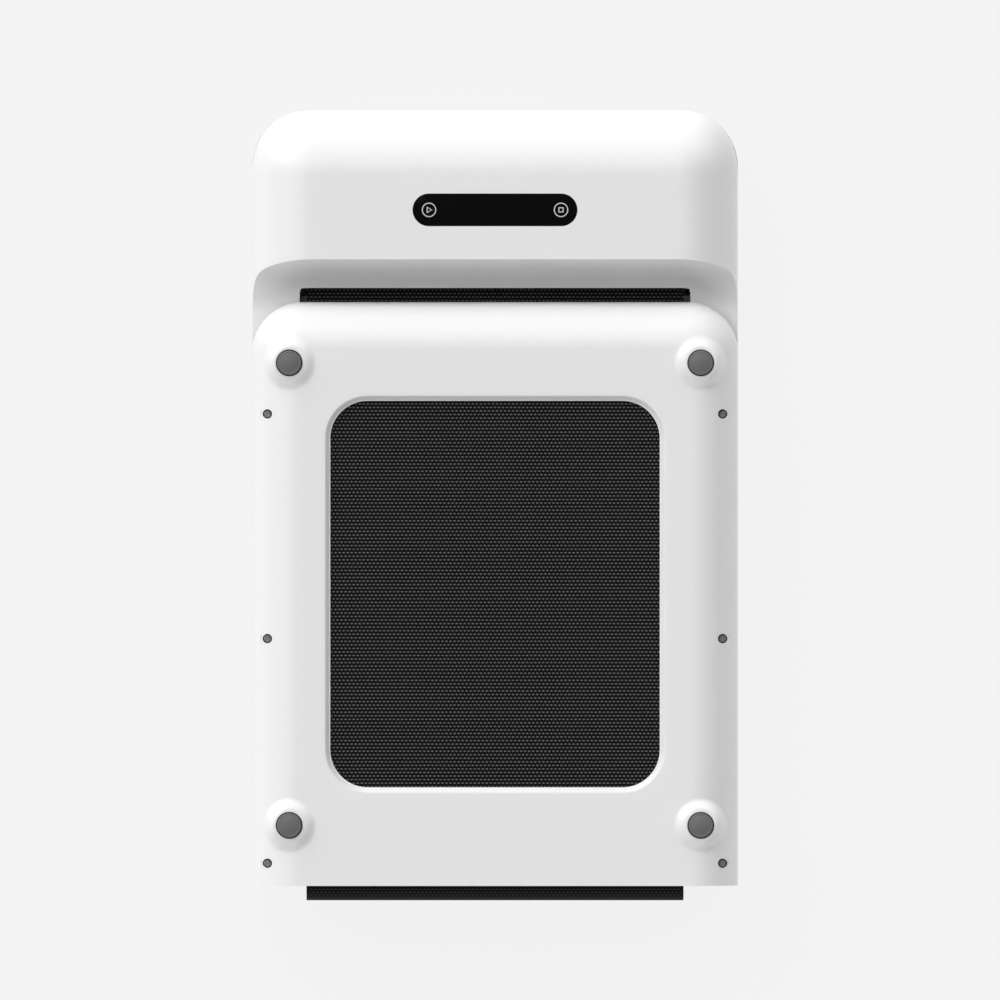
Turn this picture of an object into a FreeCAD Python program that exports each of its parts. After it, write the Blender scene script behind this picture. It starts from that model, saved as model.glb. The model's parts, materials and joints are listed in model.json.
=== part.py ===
import FreeCAD, Part

# Folding walking treadmill, stored folded flat on the floor.
# Millimetres. +X is to the right, +Y runs from the fold to the motor head, +Z is up.
# The origin is on the floor, under the middle of the folded machine.
# The front half lies on the floor with its walking side up. The rear half is built the
# same way up, from the fold towards +Y, and is then turned over on top of it.

import math
import os

from FreeCAD import Vector

X_AXIS = Vector(1, 0, 0)
Y_AXIS = Vector(0, 1, 0)
Z_AXIS = Vector(0, 0, 1)
SIDES = (-1, 1)

# ---- driving dimensions -----------------------------------------------------------------

# plan
BELT_WIDTH = 400.0      # running belt
WELL_GAP = 7.5          # belt edge to foot rail
RAIL_OVER_BEAM = 25.0   # foot rail's outer edge beyond the frame's side beam
FRONT_LENGTH = 818.0    # hinge axis to the end of the motor head
HEAD_BACK = 158.9       # length of the head's flat top
TAIL_GAP = 45.1         # tail to the head's top edge, when folded
BELT_BULGE = 21.0       # how far the folded belt stands out past the hinge axis
HINGE_SET = 6.0         # how far the rear half's end hangs over the hinge axis

# heights, stacked up from the floor
FOOT_HEIGHT = 9.0       # floor to the bottom cover
LIP_DEPTH = 6.0         # bottom cover to the inner edge of the window
BELT_GAP = 2.0          # window edge to the lower run of the belt
BELT_T = 1.6            # running belt
ROLLER_R = 20.0         # both belt rollers
BELT_ROLLER_GAP = 0.3   # belt lining to roller
WELL_DEPTH = 5.7        # belt surface below the foot rails
FOLD_GAP = 2.0          # rail top to the hinge axis
HEAD_TOP_Z = 125.0      # top of the motor head

# casing
WALL = 2.5              # all plastic shells
RAIL_HEIGHT = 7.5       # visible side of a foot rail
SEAM = 0.5              # gap between two shells that meet
END_GAP = 0.5           # half of the gap between the halves' ends, unfolded
HEAD_CORNER_R = 60.0    # head, seen from above
TAIL_CORNER_R = 54.0    # tail, seen from above
HEAD_EDGE_R = 57.0      # head, rounded top edge
HEAD_LEAN_DEG = 21.0    # the head's rear face leans back from upright
HEAD_SWEEP_R = 50.0     # sweep from the head's rear face into the rails
STUB_LENGTH = 77.0      # rail stubs moulded with the head, beyond the sweep's corner
SLOT_HEIGHT = 13.4      # opening under the head that the belt runs into
SLOT_CORNER_R = 4.0

# window in each bottom cover
WINDOW_INSET = 78.0     # from the casing's side
WINDOW_FROM_FOLD = 93.8 # from the hinge axis
WINDOW_FROM_TAIL = 99.8
WINDOW_CORNER_R = 45.0
WINDOW_SLOPE = 5.3      # how far the sloped lip reaches in

# feet and cover screws
FOOT_INSET = 39.8       # from the side
FOOT_FROM_FOLD = 58.75  # from the hinge axis
FOOT_FROM_END = 64.75   # from the far end of each half
FOOT_R = 13.6
FOOT_CLEAR = 0.7
FOOT_THICKNESS = 7.0
FOOT_BOSS_Z = 3.4       # floor to the boss round a foot
FOOT_BOSS_RIM = 2.0
FOOT_BOSS_SPREAD = 8.0  # how far the boss widens down to the cover
SCREW_INSET = 16.5      # from the side
SCREW_FROM_FOLD = 18.4
SCREW_FROM_TAIL = 118.9
SCREW_FROM_HEAD_END = 134.0
SCREW_WELL_R = 5.0
SCREW_BELOW_SEAM = 29.0 # seam to the floor of a screw's well
SCREW_HEAD_R = 4.2
SCREW_HEAD_T = 3.0
SCREW_R = 2.0
SCREW_LENGTH = 20.0
SCREW_BOSS_R = 4.6
SOCKET_R = 1.7

# structure
FRAME_CLEAR = 1.5       # frame to whatever it stands beside
FRAME_START = 12.0      # from the hinge axis
BEAM_WIDTH = 24.0
BEAM_HEIGHT = 20.0
BEAM_WALL = 2.0
CROSS_WIDTH = 30.0
CROSS_HEIGHT = 16.0
CROSS_FROM_FOLD = 36.0
CROSS_FROM_TAIL = 80.0
DECK_T = 15.0
DECK_CLEAR = 0.1        # belt lining to deck
DECK_START = 10.5       # from the hinge axis
DECK_ROLLER_GAP = 6.0
DECK_SCREW_FROM_FOLD = 79.0
DECK_SCREW_FROM_TAIL = 90.0
ISOLATOR_T = 4.0
ISOLATOR_R = 10.0
DECK_SCREW_R = 2.5
DECK_SCREW_HEAD_R = 5.0
PLATE_T = 4.0           # steel plates

# rollers
ROLLER_WALL = 3.0
ROLLER_OVERHANG = 3.0   # roller beyond the belt's edge
SHAFT_R = 7.5
BEARING_WIDTH = 11.0
FIT = 0.05              # running fit, radial
ROLLER_FROM_HEAD_END = 169.5
ROLLER_PAST_EDGE = 14.0 # rear roller's axis, tailwards of where the tail starts to round
TENSION_R = 3.0         # belt tension bolts
TENSION_HEAD_R = 4.5
TENSION_TRAVEL = 5.0    # room for the shaft in its slots
TENSION_FROM_TAIL = 20.0  # tail to the plate that the bolts pull on
ROLLER_PULLEY_R = 22.0
PULLEY_WIDTH = 16.0
PULLEY_GAP = 0.5        # roller end to pulley
RIBS = 6                # ribs of the drive belt
RIB_DEPTH = 1.4

# motor
MOTOR_PULLEY_R = 9.0
MOTOR_FROM_HEAD_END = 99.5
MOTOR_CLEAR = 2.0       # bracket's foot to the motor
MOTOR_R = 38.0
MOTOR_WALL = 4.0
MOTOR_LENGTH = 120.0
MOTOR_SHAFT_R = 6.0
ARMATURE_R = 27.0
FLYWHEEL_R = 35.0
FLYWHEEL_T = 8.0
DRIVE_BELT_T = 2.6
DRIVE_BELT_GAP = 0.3
BASE_BELOW_SEAM = 37.0  # seam to the underside of the base plate

# hinge
PIN_R = 3.0
PIN_HEAD_T = 1.2
PIN_PLAY = 0.2
KNUCKLE_R = 6.0
LUG_T = 8.0
EAR_T = 5.0
EAR_GAP = 0.4
HINGE_CLEAR = 1.0
HINGE_REACH = 56.0      # hinge bracket along its half
HINGE_NECK = 8.0        # stretch where the bracket rises to the axis

# head fittings
DISPLAY_LENGTH = 174.6
DISPLAY_WIDTH = 34.4
DISPLAY_FROM_END = 106.5  # head's end to the middle of the display
DISPLAY_FIT = 0.15
WHEEL_R = 20.0
WHEEL_WIDTH = 14.0
WHEEL_HUB_R = 13.0
WHEEL_X = 165.0
WHEEL_FROM_END = 37.5
WHEEL_Z = 25.0
AXLE_R = 3.0
WHEEL_CLEAR = 3.0
PANEL_X = 100.0         # middle of the mains panel
PANEL_WIDTH = 80.0
PANEL_Z0 = 28.0
PANEL_HEIGHT = 28.0
PANEL_FROM_END = 15.5
INLET_WIDTH = 30.0
INLET_HEIGHT = 22.0
INLET_DEPTH = 24.0
SWITCH_WIDTH = 18.0
SWITCH_HEIGHT = 25.0
SWITCH_DEPTH = 20.0
ROCKER_TILT_DEG = 8.0

# ---- places worked out from them --------------------------------------------------------

WELL_HALF = BELT_WIDTH / 2 + WELL_GAP
RAIL_WIDTH = FRAME_CLEAR + BEAM_WIDTH + RAIL_OVER_BEAM
WIDTH_HALF = WELL_HALF + RAIL_WIDTH
REAR_LENGTH = FRONT_LENGTH - HEAD_BACK - TAIL_GAP
FOLD_Y = BELT_BULGE - (FRONT_LENGTH + BELT_BULGE) / 2
FRONT_START = HINGE_SET + END_GAP
REAR_START = END_GAP - HINGE_SET
HEAD_END_Y = FOLD_Y + FRONT_LENGTH

COVER_Z = FOOT_HEIGHT
LOWER_RUN_Z = COVER_Z + LIP_DEPTH + BELT_GAP
ROLLER_Z = LOWER_RUN_Z + BELT_T + BELT_ROLLER_GAP + ROLLER_R
BELT_TOP_Z = ROLLER_Z + ROLLER_R + BELT_ROLLER_GAP + BELT_T
RAIL_TOP_Z = BELT_TOP_Z + WELL_DEPTH
HINGE_Z = RAIL_TOP_Z + FOLD_GAP
SEAM_Z = RAIL_TOP_Z - RAIL_HEIGHT
EDGE_R = SEAM_Z - COVER_Z

DECK_TOP_Z = BELT_TOP_Z - BELT_T - DECK_CLEAR
DECK_Z = DECK_TOP_Z - DECK_T
BEAM_TOP_Z = DECK_Z - ISOLATOR_T
BEAM_X0 = WELL_HALF + FRAME_CLEAR
BEAM_X1 = BEAM_X0 + BEAM_WIDTH
DECK_HALF = BEAM_X1 - 1.0
SLOT_TOP_Z = BELT_TOP_Z + SLOT_HEIGHT

FOOT_X = WIDTH_HALF - FOOT_INSET
SCREW_X = WIDTH_HALF - SCREW_INSET
SCREW_FLOOR_Z = SEAM_Z - SCREW_BELOW_SEAM
FRONT_FOOT_V = (FOOT_FROM_FOLD, FRONT_LENGTH - FOOT_FROM_END)
REAR_FOOT_V = (FOOT_FROM_FOLD, REAR_LENGTH - FOOT_FROM_END)
SCREW_LAST_V = REAR_LENGTH - SCREW_FROM_TAIL
REAR_SCREW_V = (SCREW_FROM_FOLD, (SCREW_FROM_FOLD + SCREW_LAST_V) / 2, SCREW_LAST_V)
FRONT_SCREW_V = REAR_SCREW_V + (FRONT_LENGTH - SCREW_FROM_HEAD_END,)
CROSS_V = (CROSS_FROM_FOLD, REAR_LENGTH / 2, REAR_LENGTH - CROSS_FROM_TAIL)
DECK_SCREW_V = (DECK_SCREW_FROM_FOLD, REAR_LENGTH / 2, REAR_LENGTH - DECK_SCREW_FROM_TAIL)

HEAD_REAR_Y = HEAD_END_Y - HEAD_BACK
LEAN = math.radians(HEAD_LEAN_DEG)
SWEEP_CORNER_Y = HEAD_REAR_Y - (HEAD_TOP_Z - RAIL_TOP_Z) * math.tan(LEAN)
STUB_Y = SWEEP_CORNER_Y - STUB_LENGTH
FRONT_RAIL_V = STUB_Y - FOLD_Y - SEAM
REAR_RAIL_V = REAR_LENGTH - TAIL_CORNER_R - SEAM
FRONT_ROLLER_V = FRONT_LENGTH - ROLLER_FROM_HEAD_END
REAR_ROLLER_V = REAR_LENGTH - EDGE_R + ROLLER_PAST_EDGE
DRIVE_BELT_REACH = ROLLER_PULLEY_R + DRIVE_BELT_GAP + DRIVE_BELT_T
FRONT_BEAM_END = FRONT_ROLLER_V - max(DRIVE_BELT_REACH, ROLLER_R) - FRAME_CLEAR
FRONT_DECK_END = FRONT_BEAM_END - FRAME_CLEAR
REAR_DECK_END = REAR_ROLLER_V - ROLLER_R - DECK_ROLLER_GAP
MOTOR_V = FRONT_LENGTH - MOTOR_FROM_HEAD_END
BASE_PLATE_Z = SEAM_Z - BASE_BELOW_SEAM
MOTOR_Z = BASE_PLATE_Z + 2 * PLATE_T + MOTOR_CLEAR + MOTOR_R
BASE_PLATE_V0 = FRONT_ROLLER_V + ROLLER_R + DECK_ROLLER_GAP
BASE_PLATE_V1 = FRONT_LENGTH - WHEEL_FROM_END - WHEEL_R - WHEEL_CLEAR - WALL - FRAME_CLEAR

ROLLER_HALF = BELT_WIDTH / 2 + ROLLER_OVERHANG
PULLEY_X0 = ROLLER_HALF + PULLEY_GAP
PULLEY_X1 = PULLEY_X0 + PULLEY_WIDTH
SIDE_PLATE_X = BEAM_X1 - PLATE_T
TAIL_PLATE_X = WELL_HALF + FRAME_CLEAR * 4
MOTOR_PLATE_X = PULLEY_X0 - 16.0
HINGE_HALF = LUG_T / 2 + EAR_GAP + EAR_T
HINGE_X = BEAM_X1 - HINGE_HALF
HINGE_ROOM = HINGE_HALF + PIN_PLAY + PIN_HEAD_T + HINGE_CLEAR
DISPLAY_Y = HEAD_END_Y - DISPLAY_FROM_END
WHEEL_Y = HEAD_END_Y - WHEEL_FROM_END
PANEL_Y = HEAD_END_Y - PANEL_FROM_END


# ---- small tools ------------------------------------------------------------------------

def along(v):
    """Y of a point v millimetres from the fold."""
    return FOLD_Y + v


def box(x0, x1, y0, y1, z0, z1):
    low_x, high_x = sorted((x0, x1))
    return Part.makeBox(high_x - low_x, y1 - y0, z1 - z0, Vector(low_x, y0, z0))


def rod_x(x0, x1, y, z, radius):
    low, high = sorted((x0, x1))
    return Part.makeCylinder(radius, high - low, Vector(low, y, z), X_AXIS)


def rod_y(x, y0, y1, z, radius):
    return Part.makeCylinder(radius, y1 - y0, Vector(x, y0, z), Y_AXIS)


def rod_z(x, y, z0, z1, radius):
    return Part.makeCylinder(radius, z1 - z0, Vector(x, y, z0), Z_AXIS)


def ring_x(x0, x1, y, z, outer, inner):
    return rod_x(x0, x1, y, z, outer).cut(rod_x(x0, x1, y, z, inner))


def turned_over(shape):
    """Turns a shape of the rear half over, on top of the front half."""
    turned = shape.copy()
    turned.rotate(Vector(0, 0, HINGE_Z), Y_AXIS, 180)
    return turned


def fillet_where(shape, radius, wanted):
    edges = [e for e in shape.Edges if wanted(e.BoundBox)]
    return shape.makeFillet(radius, edges)


def prism_x(points, x0, x1):
    """Extrudes a closed outline in the Y-Z plane from x0 to x1. Each item is a (y, z) corner,
    or a pair of them: a point to pass through and a point to reach on an arc."""
    start = Vector(x0, *points[0])
    here, edges = start, []
    for item in points[1:] + [points[0]]:
        if isinstance(item[0], tuple):
            through, end = (Vector(x0, *p) for p in item)
            edges.append(Part.Arc(here, through, end).toShape())
        else:
            end = Vector(x0, *item)
            if here.distanceToPoint(end) < 1e-6:
                continue
            edges.append(Part.makeLine(here, end))
        here = end
    face = Part.Face(Part.Wire(edges))
    return face.extrude(Vector(x1 - x0, 0, 0))


def rounded_rect(x_half, y0, y1, radius, z):
    """Closed wire of a rounded rectangle, centred on X = 0."""
    corners = ((x_half, y0, -90), (x_half, y1, 0), (-x_half, y1, 90), (-x_half, y0, 180))
    edges, last, first = [], None, None
    for x, y, start in corners:
        cx = x - math.copysign(radius, x)
        cy = y + (radius if y == y0 else -radius)
        circle = Part.Circle(Vector(cx, cy, z), Z_AXIS, radius)
        arc = circle.toShape(math.radians(start), math.radians(start + 90))
        begin, end = arc.Vertexes[0].Point, arc.Vertexes[-1].Point
        if last is not None and last.distanceToPoint(begin) > 1e-6:
            edges.append(Part.makeLine(last, begin))
        first = begin if first is None else first
        edges.append(arc)
        last = end
    if last.distanceToPoint(first) > 1e-6:
        edges.append(Part.makeLine(last, first))
    return Part.Wire(edges)


def rounded_prism(x_half, y0, y1, radius, z0, z1):
    face = Part.Face(rounded_rect(x_half, y0, y1, radius, z0))
    return face.extrude(Vector(0, 0, z1 - z0))


def pill(length, width, y, z0, z1, grow=0.0):
    """Upright prism with round ends, lying along X and centred on X = 0."""
    radius = width / 2 + grow
    reach = (length - width) / 2
    middle = box(-reach, reach, y - radius, y + radius, z0, z1)
    ends = [rod_z(s * reach, y, z0, z1, radius) for s in SIDES]
    return middle.fuse(ends).removeSplitter()


def loop_hull(y1, z1, r1, y2, z2, r2, x0, x1):
    """Prism of the shape that a tight belt makes round two circles."""
    span = math.hypot(y2 - y1, z2 - z1)
    tilt = math.atan2(z2 - z1, y2 - y1)
    lean = math.acos((r1 - r2) / span)

    def on(y, z, r, angle):
        return (y + r * math.cos(angle), z + r * math.sin(angle))

    return prism_x(
        [
            on(y1, z1, r1, tilt + lean),
            (on(y1, z1, r1, tilt + math.pi), on(y1, z1, r1, tilt - lean)),
            on(y2, z2, r2, tilt - lean),
            (on(y2, z2, r2, tilt), on(y2, z2, r2, tilt + lean)),
        ],
        x0,
        x1,
    )


def tub(length, corner_r, inset, start, top):
    """Solid of the casing's underside: sides and far end rounded down to a flat bottom."""
    x_half = WIDTH_HALF - inset
    end = along(length) - inset
    bottom = COVER_Z + inset
    spare = 10.0
    solid = box(-x_half, x_half, start, end, bottom, SEAM_Z + spare)
    solid = fillet_where(
        solid,
        corner_r - inset,
        lambda b: b.ZLength > 1 and b.YLength < 1 and b.XLength < 1 and b.YMin > end - 1,
    )
    solid = fillet_where(
        solid,
        EDGE_R - inset,
        lambda b: b.ZMax < bottom + 1 and b.YMax > start + 1,
    )
    return solid.cut(box(-x_half - 1, x_half + 1, start - 1, end + 1, top, SEAM_Z + spare + 1))


# ---- bottom covers ----------------------------------------------------------------------

def window_lip():
    """Frame of the window with sloped walls, and the hole that goes through it."""
    outer_half = WIDTH_HALF - WINDOW_INSET
    y0, y1 = along(WINDOW_FROM_FOLD), along(REAR_LENGTH - WINDOW_FROM_TAIL)

    def funnel(grow):
        wires = [
            rounded_rect(
                outer_half + grow - slope,
                y0 - grow + slope,
                y1 + grow - slope,
                WINDOW_CORNER_R + grow - slope,
                z,
            )
            for slope, z in ((0.0, COVER_Z), (WINDOW_SLOPE, COVER_Z + LIP_DEPTH))
        ]
        return Part.makeLoft(wires, True, True)

    return funnel(WALL), funnel(0.0)


def foot_boss(x, v, lift):
    """Outer shape of the boss round a foot; lift makes the smaller shape of its hollow."""
    y = along(v)
    tip = FOOT_R + FOOT_CLEAR + FOOT_BOSS_RIM
    rise = COVER_Z + 1.0 - FOOT_BOSS_Z
    wide = tip + FOOT_BOSS_SPREAD
    low = Part.makeCone(tip, wide, rise, Vector(x, y, FOOT_BOSS_Z + lift), Z_AXIS)
    deep = EDGE_R * 0.4
    high = Part.makeCone(wide, wide + 3.0, deep, Vector(x, y, FOOT_BOSS_Z + lift + rise), Z_AXIS)
    return low.fuse(high)


def foot_cup(x, v):
    """Cup inside a boss that holds the rubber foot, and the space for the foot."""
    y = along(v)
    bore = FOOT_R + FOOT_CLEAR
    cup = rod_z(x, y, FOOT_BOSS_Z, FOOT_THICKNESS + WALL, bore + WALL)
    space = rod_z(x, y, 0.0, FOOT_THICKNESS, bore)
    return cup, space


def screw_well(x, v):
    """Tube that sinks a screw's head into the rounded side, and its bore."""
    y = along(v)
    tube = rod_z(x, y, COVER_Z, SCREW_FLOOR_Z + WALL, SCREW_WELL_R + WALL)
    bore = rod_z(x, y, 0.0, SCREW_FLOOR_Z, SCREW_WELL_R)
    hole = rod_z(x, y, 0.0, SCREW_FLOOR_Z + WALL + 1, SCREW_R + 0.3)
    return tube, bore.fuse(hole)


def bottom_cover(start_v, length, corner_r, foot_v, screw_v):
    start = along(start_v)
    outer = tub(length, corner_r, 0.0, start, SEAM_Z - SEAM)
    inner = tub(length, corner_r, WALL, start + WALL, SEAM_Z)
    feet = [(s * FOOT_X, v) for s in SIDES for v in foot_v]
    screws = [(s * SCREW_X, v) for s in SIDES for v in screw_v]
    cups = [foot_cup(*spot) for spot in feet]
    wells = [screw_well(*spot) for spot in screws]
    lip, hole = window_lip()

    skin = outer.fuse([foot_boss(*spot, 0.0) for spot in feet])
    hollow = inner.fuse([foot_boss(*spot, WALL) for spot in feet])
    shell = skin.cut(hollow)
    shell = shell.fuse([lip] + [c[0] for c in cups] + [w[0].common(outer) for w in wells])
    belt_way = box(
        -WELL_HALF, WELL_HALF, start - 1, start + WALL + 1, LOWER_RUN_Z - BELT_GAP, SEAM_Z
    )
    shell = shell.cut([hole, belt_way] + [c[1] for c in cups] + [w[1] for w in wells])
    reliefs = [hinge_relief(s) for s in SIDES]
    return shell.cut(reliefs)


def wheel_pocket(side):
    """Walls of the pocket round a transport wheel, and the space inside it."""
    x = side * WHEEL_X
    half = WHEEL_WIDTH / 2 + WHEEL_CLEAR
    reach = WHEEL_R + WHEEL_CLEAR
    top = WHEEL_Z + WHEEL_R + WHEEL_CLEAR
    walls = box(
        x - half - WALL, x + half + WALL,
        WHEEL_Y - reach - WALL, WHEEL_Y + reach + WALL,
        COVER_Z, top + WALL,
    )
    space = box(x - half, x + half, WHEEL_Y - reach, WHEEL_Y + reach, 0.0, top)
    axle = rod_x(x - half - WALL, x + half + WALL, WHEEL_Y, WHEEL_Z, AXLE_R)
    return walls, space.fuse(axle)


def panel_pocket():
    """Sleeve that the mains panel sits in, and its opening to the front."""
    x0, x1 = PANEL_X - PANEL_WIDTH / 2, PANEL_X + PANEL_WIDTH / 2
    z0, z1 = PANEL_Z0, PANEL_Z0 + PANEL_HEIGHT
    back = PANEL_Y - 2 * WALL
    sleeve = box(x0 - WALL, x1 + WALL, back, HEAD_END_Y, z0 - WALL, SEAM_Z - SEAM)
    space = box(x0, x1, back - 1, HEAD_END_Y + 1, z0, z1)
    return sleeve, space


def cooling_vents():
    """Slots under the motor."""
    count, pitch, length, width = 8, 12.0, 60.0, 5.0
    middle = along(MOTOR_V - 4.0)
    spots = [(n - (count - 1) / 2) * pitch - 60.0 for n in range(count)]
    return [
        box(x - width / 2, x + width / 2, middle - length / 2, middle + length / 2,
            COVER_Z - 1, COVER_Z + WALL + 1)
        for x in spots
    ]


def front_bottom_cover():
    cover = bottom_cover(FRONT_START, FRONT_LENGTH, HEAD_CORNER_R, FRONT_FOOT_V, FRONT_SCREW_V)
    outer = tub(FRONT_LENGTH, HEAD_CORNER_R, 0.0, along(FRONT_START), SEAM_Z - SEAM)
    pockets = [wheel_pocket(s) for s in SIDES] + [panel_pocket()]
    cover = cover.fuse([walls.common(outer) for walls, _ in pockets])
    return cover.cut([space for _, space in pockets] + cooling_vents())


def rear_bottom_cover():
    cover = bottom_cover(REAR_START, REAR_LENGTH, TAIL_CORNER_R, REAR_FOOT_V, REAR_SCREW_V)
    end = along(REAR_LENGTH)
    holes = [rod_y(s * bolt_x(), end - 20, end + 1, ROLLER_Z, TENSION_HEAD_R + 1.0) for s in SIDES]
    return cover.cut(holes)


def feet(foot_v):
    pads = []
    for v in foot_v:
        for s in SIDES:
            pad = rod_z(s * FOOT_X, along(v), 0.0, FOOT_THICKNESS, FOOT_R)
            rim = [e for e in pad.Edges if e.BoundBox.ZMax < 0.5 and e.BoundBox.XLength > 1]
            pads.append(pad.makeChamfer(1.2, rim))
    return Part.makeCompound(pads)


def cover_screws(screw_v):
    screws = []
    for v in screw_v:
        for s in SIDES:
            x, y, head_z = s * SCREW_X, along(v), SCREW_FLOOR_Z - SCREW_HEAD_T
            head = rod_z(x, y, head_z, SCREW_FLOOR_Z, SCREW_HEAD_R)
            rim = [e for e in head.Edges if e.BoundBox.ZMax < head_z + 0.1 and e.BoundBox.XLength > 1]
            head = head.makeFillet(1.2, rim)
            shank = rod_z(x, y, SCREW_FLOOR_Z, SCREW_FLOOR_Z + SCREW_LENGTH, SCREW_R)
            socket = rod_z(x, y, head_z - 1, head_z + 1.6, SOCKET_R)
            screws.append(head.fuse(shank).cut(socket))
    return Part.makeCompound(screws)


# ---- rails, head and tail ---------------------------------------------------------------

def hinge_relief(side):
    """Room round a hinge's knuckles and bracket neck."""
    x0, x1 = side * (HINGE_X - HINGE_ROOM), side * (HINGE_X + HINGE_ROOM)
    round_part = rod_x(x0, x1, FOLD_Y, HINGE_Z, KNUCKLE_R + HINGE_CLEAR)
    end_v = max(HINGE_NECK + HINGE_CLEAR, FRONT_START + WALL)
    neck = box(x0, x1, along(REAR_START) - 1, along(end_v), BEAM_TOP_Z - 1, HINGE_Z)
    return round_part.fuse(neck)


def rail_profile(side, v0, v1):
    """Hollow foot rail: a top plate, an outer skirt to the seam, an inner one to the deck."""
    soft, groove_pitch, groove_w, groove_t = 3.0, 6.0, 2.0, 0.6
    x0, x1 = side * WELL_HALF, side * WIDTH_HALF
    y0, y1 = along(v0), along(v1)
    body = box(x0, x1, y0, y1, SEAM_Z, RAIL_TOP_Z)
    body = fillet_where(
        body, soft, lambda b: b.ZMin > RAIL_TOP_Z - 0.1 and b.YLength > 1 and b.XLength < 0.1
    )
    inside = box(
        side * (WELL_HALF + WALL), side * (WIDTH_HALF - WALL), y0 - 1, y1 + 1,
        SEAM_Z - 1, RAIL_TOP_Z - WALL,
    ).fuse(over_deck(y0 - 1, y1 + 1))
    grooves = []
    for n in range(-2, 3):
        x = side * (WELL_HALF + RAIL_WIDTH / 2) + n * groove_pitch
        grooves.append(
            box(x - groove_w / 2, x + groove_w / 2, y0 + 30, y1 - 15,
                RAIL_TOP_Z - groove_t, RAIL_TOP_Z + 1)
        )
    return body.cut([inside] + grooves)


def over_deck(y0, y1):
    """Space that the deck takes up under the skirts beside the belt."""
    reach = DECK_HALF + FRAME_CLEAR
    return box(-reach, reach, y0, y1, SEAM_Z - 30, DECK_TOP_Z + SEAM)


def screw_pillar(x, v, top):
    """Pillar that a cover screw bites into, standing on the screw's well."""
    y, low = along(v), SCREW_FLOOR_Z + WALL + SEAM
    pillar = rod_z(x, y, low, top, SCREW_BOSS_R)
    bore = rod_z(x, y, low - 1, SCREW_FLOOR_Z + SCREW_LENGTH + 2, SCREW_R + FIT)
    return pillar, bore


def foot_rail(side, start_v, end_v, screw_v):
    rail = rail_profile(side, start_v, end_v)
    pillars = [
        screw_pillar(side * SCREW_X, v, RAIL_TOP_Z - WALL) for v in screw_v if v < end_v
    ]
    rail = rail.fuse([p[0] for p in pillars])
    return rail.cut([p[1] for p in pillars] + [hinge_relief(side)])


def tail_cap():
    """Trim round the tail, with the belt's well cut out of it."""
    start, end = along(REAR_RAIL_V + SEAM), along(REAR_LENGTH)
    lip = 12.5
    spare = 80.0

    def plan(inset, z0, z1):
        block = rounded_prism(
            WIDTH_HALF - inset, start - spare, end - inset, TAIL_CORNER_R - inset, z0, z1
        )
        cut_off = box(-WIDTH_HALF, WIDTH_HALF, start - spare - 1, start, z0 - 1, z1 + 1)
        return block.cut(cut_off)

    body = plan(0.0, SEAM_Z, RAIL_TOP_Z)
    body = fillet_where(
        body, 3.0, lambda b: b.ZMin > RAIL_TOP_Z - 0.1 and b.YMax > start + 1
    )
    hollow = plan(WALL, SEAM_Z - 1, RAIL_TOP_Z - WALL)
    well = box(-WELL_HALF, WELL_HALF, start - 1, end - lip, SEAM_Z - 1, RAIL_TOP_Z + 1)
    skirt = box(
        -WELL_HALF - WALL, WELL_HALF + WALL, start, end - lip + WALL, SEAM_Z, RAIL_TOP_Z - WALL
    )
    skirt = skirt.common(body)
    return body.cut(hollow).fuse(skirt).cut(well)


def head_block(inset):
    """Rounded block of the motor head before its rear face is shaped."""
    x_half = WIDTH_HALF - inset
    y0, y1 = STUB_Y - 60.0, HEAD_END_Y - inset
    z0, z1 = SEAM_Z - 20.0, HEAD_TOP_Z - inset
    block = box(-x_half, x_half, y0, y1, z0, z1)
    block = fillet_where(
        block,
        HEAD_CORNER_R - inset,
        lambda b: b.ZLength > 1 and b.YLength < 1 and b.XLength < 1 and b.YMin > y1 - 1,
    )
    return fillet_where(
        block, HEAD_EDGE_R - inset, lambda b: b.ZMin > z1 - 1 and b.YMax > y0 + 1
    )


def head_side_profile(inset):
    """Side view of the head: rails, a sweep up, and the leaning rear face."""
    rail_z = RAIL_TOP_Z - inset
    top_y = HEAD_REAR_Y + inset / math.cos(LEAN)
    top_z = HEAD_TOP_Z + 20.0
    corner_y = top_y - (HEAD_TOP_Z - rail_z) * math.tan(LEAN)
    radius = HEAD_SWEEP_R + inset
    turn = math.pi / 2 - LEAN
    reach = radius * math.tan(turn / 2)
    foot_y = corner_y - reach
    half = turn / 2
    through = (foot_y + radius * math.sin(half), rail_z + radius * (1 - math.cos(half)))
    joined = (corner_y + reach * math.sin(LEAN), rail_z + reach * math.cos(LEAN))
    return prism_x(
        [
            (STUB_Y + inset, SEAM_Z - inset),
            (STUB_Y + inset, rail_z),
            (foot_y, rail_z),
            (through, joined),
            (top_y + (top_z - HEAD_TOP_Z) * math.tan(LEAN), top_z),
            (HEAD_END_Y + 10.0, top_z),
            (HEAD_END_Y + 10.0, SEAM_Z - inset),
        ],
        -WIDTH_HALF - 1,
        WIDTH_HALF + 1,
    )


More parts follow.
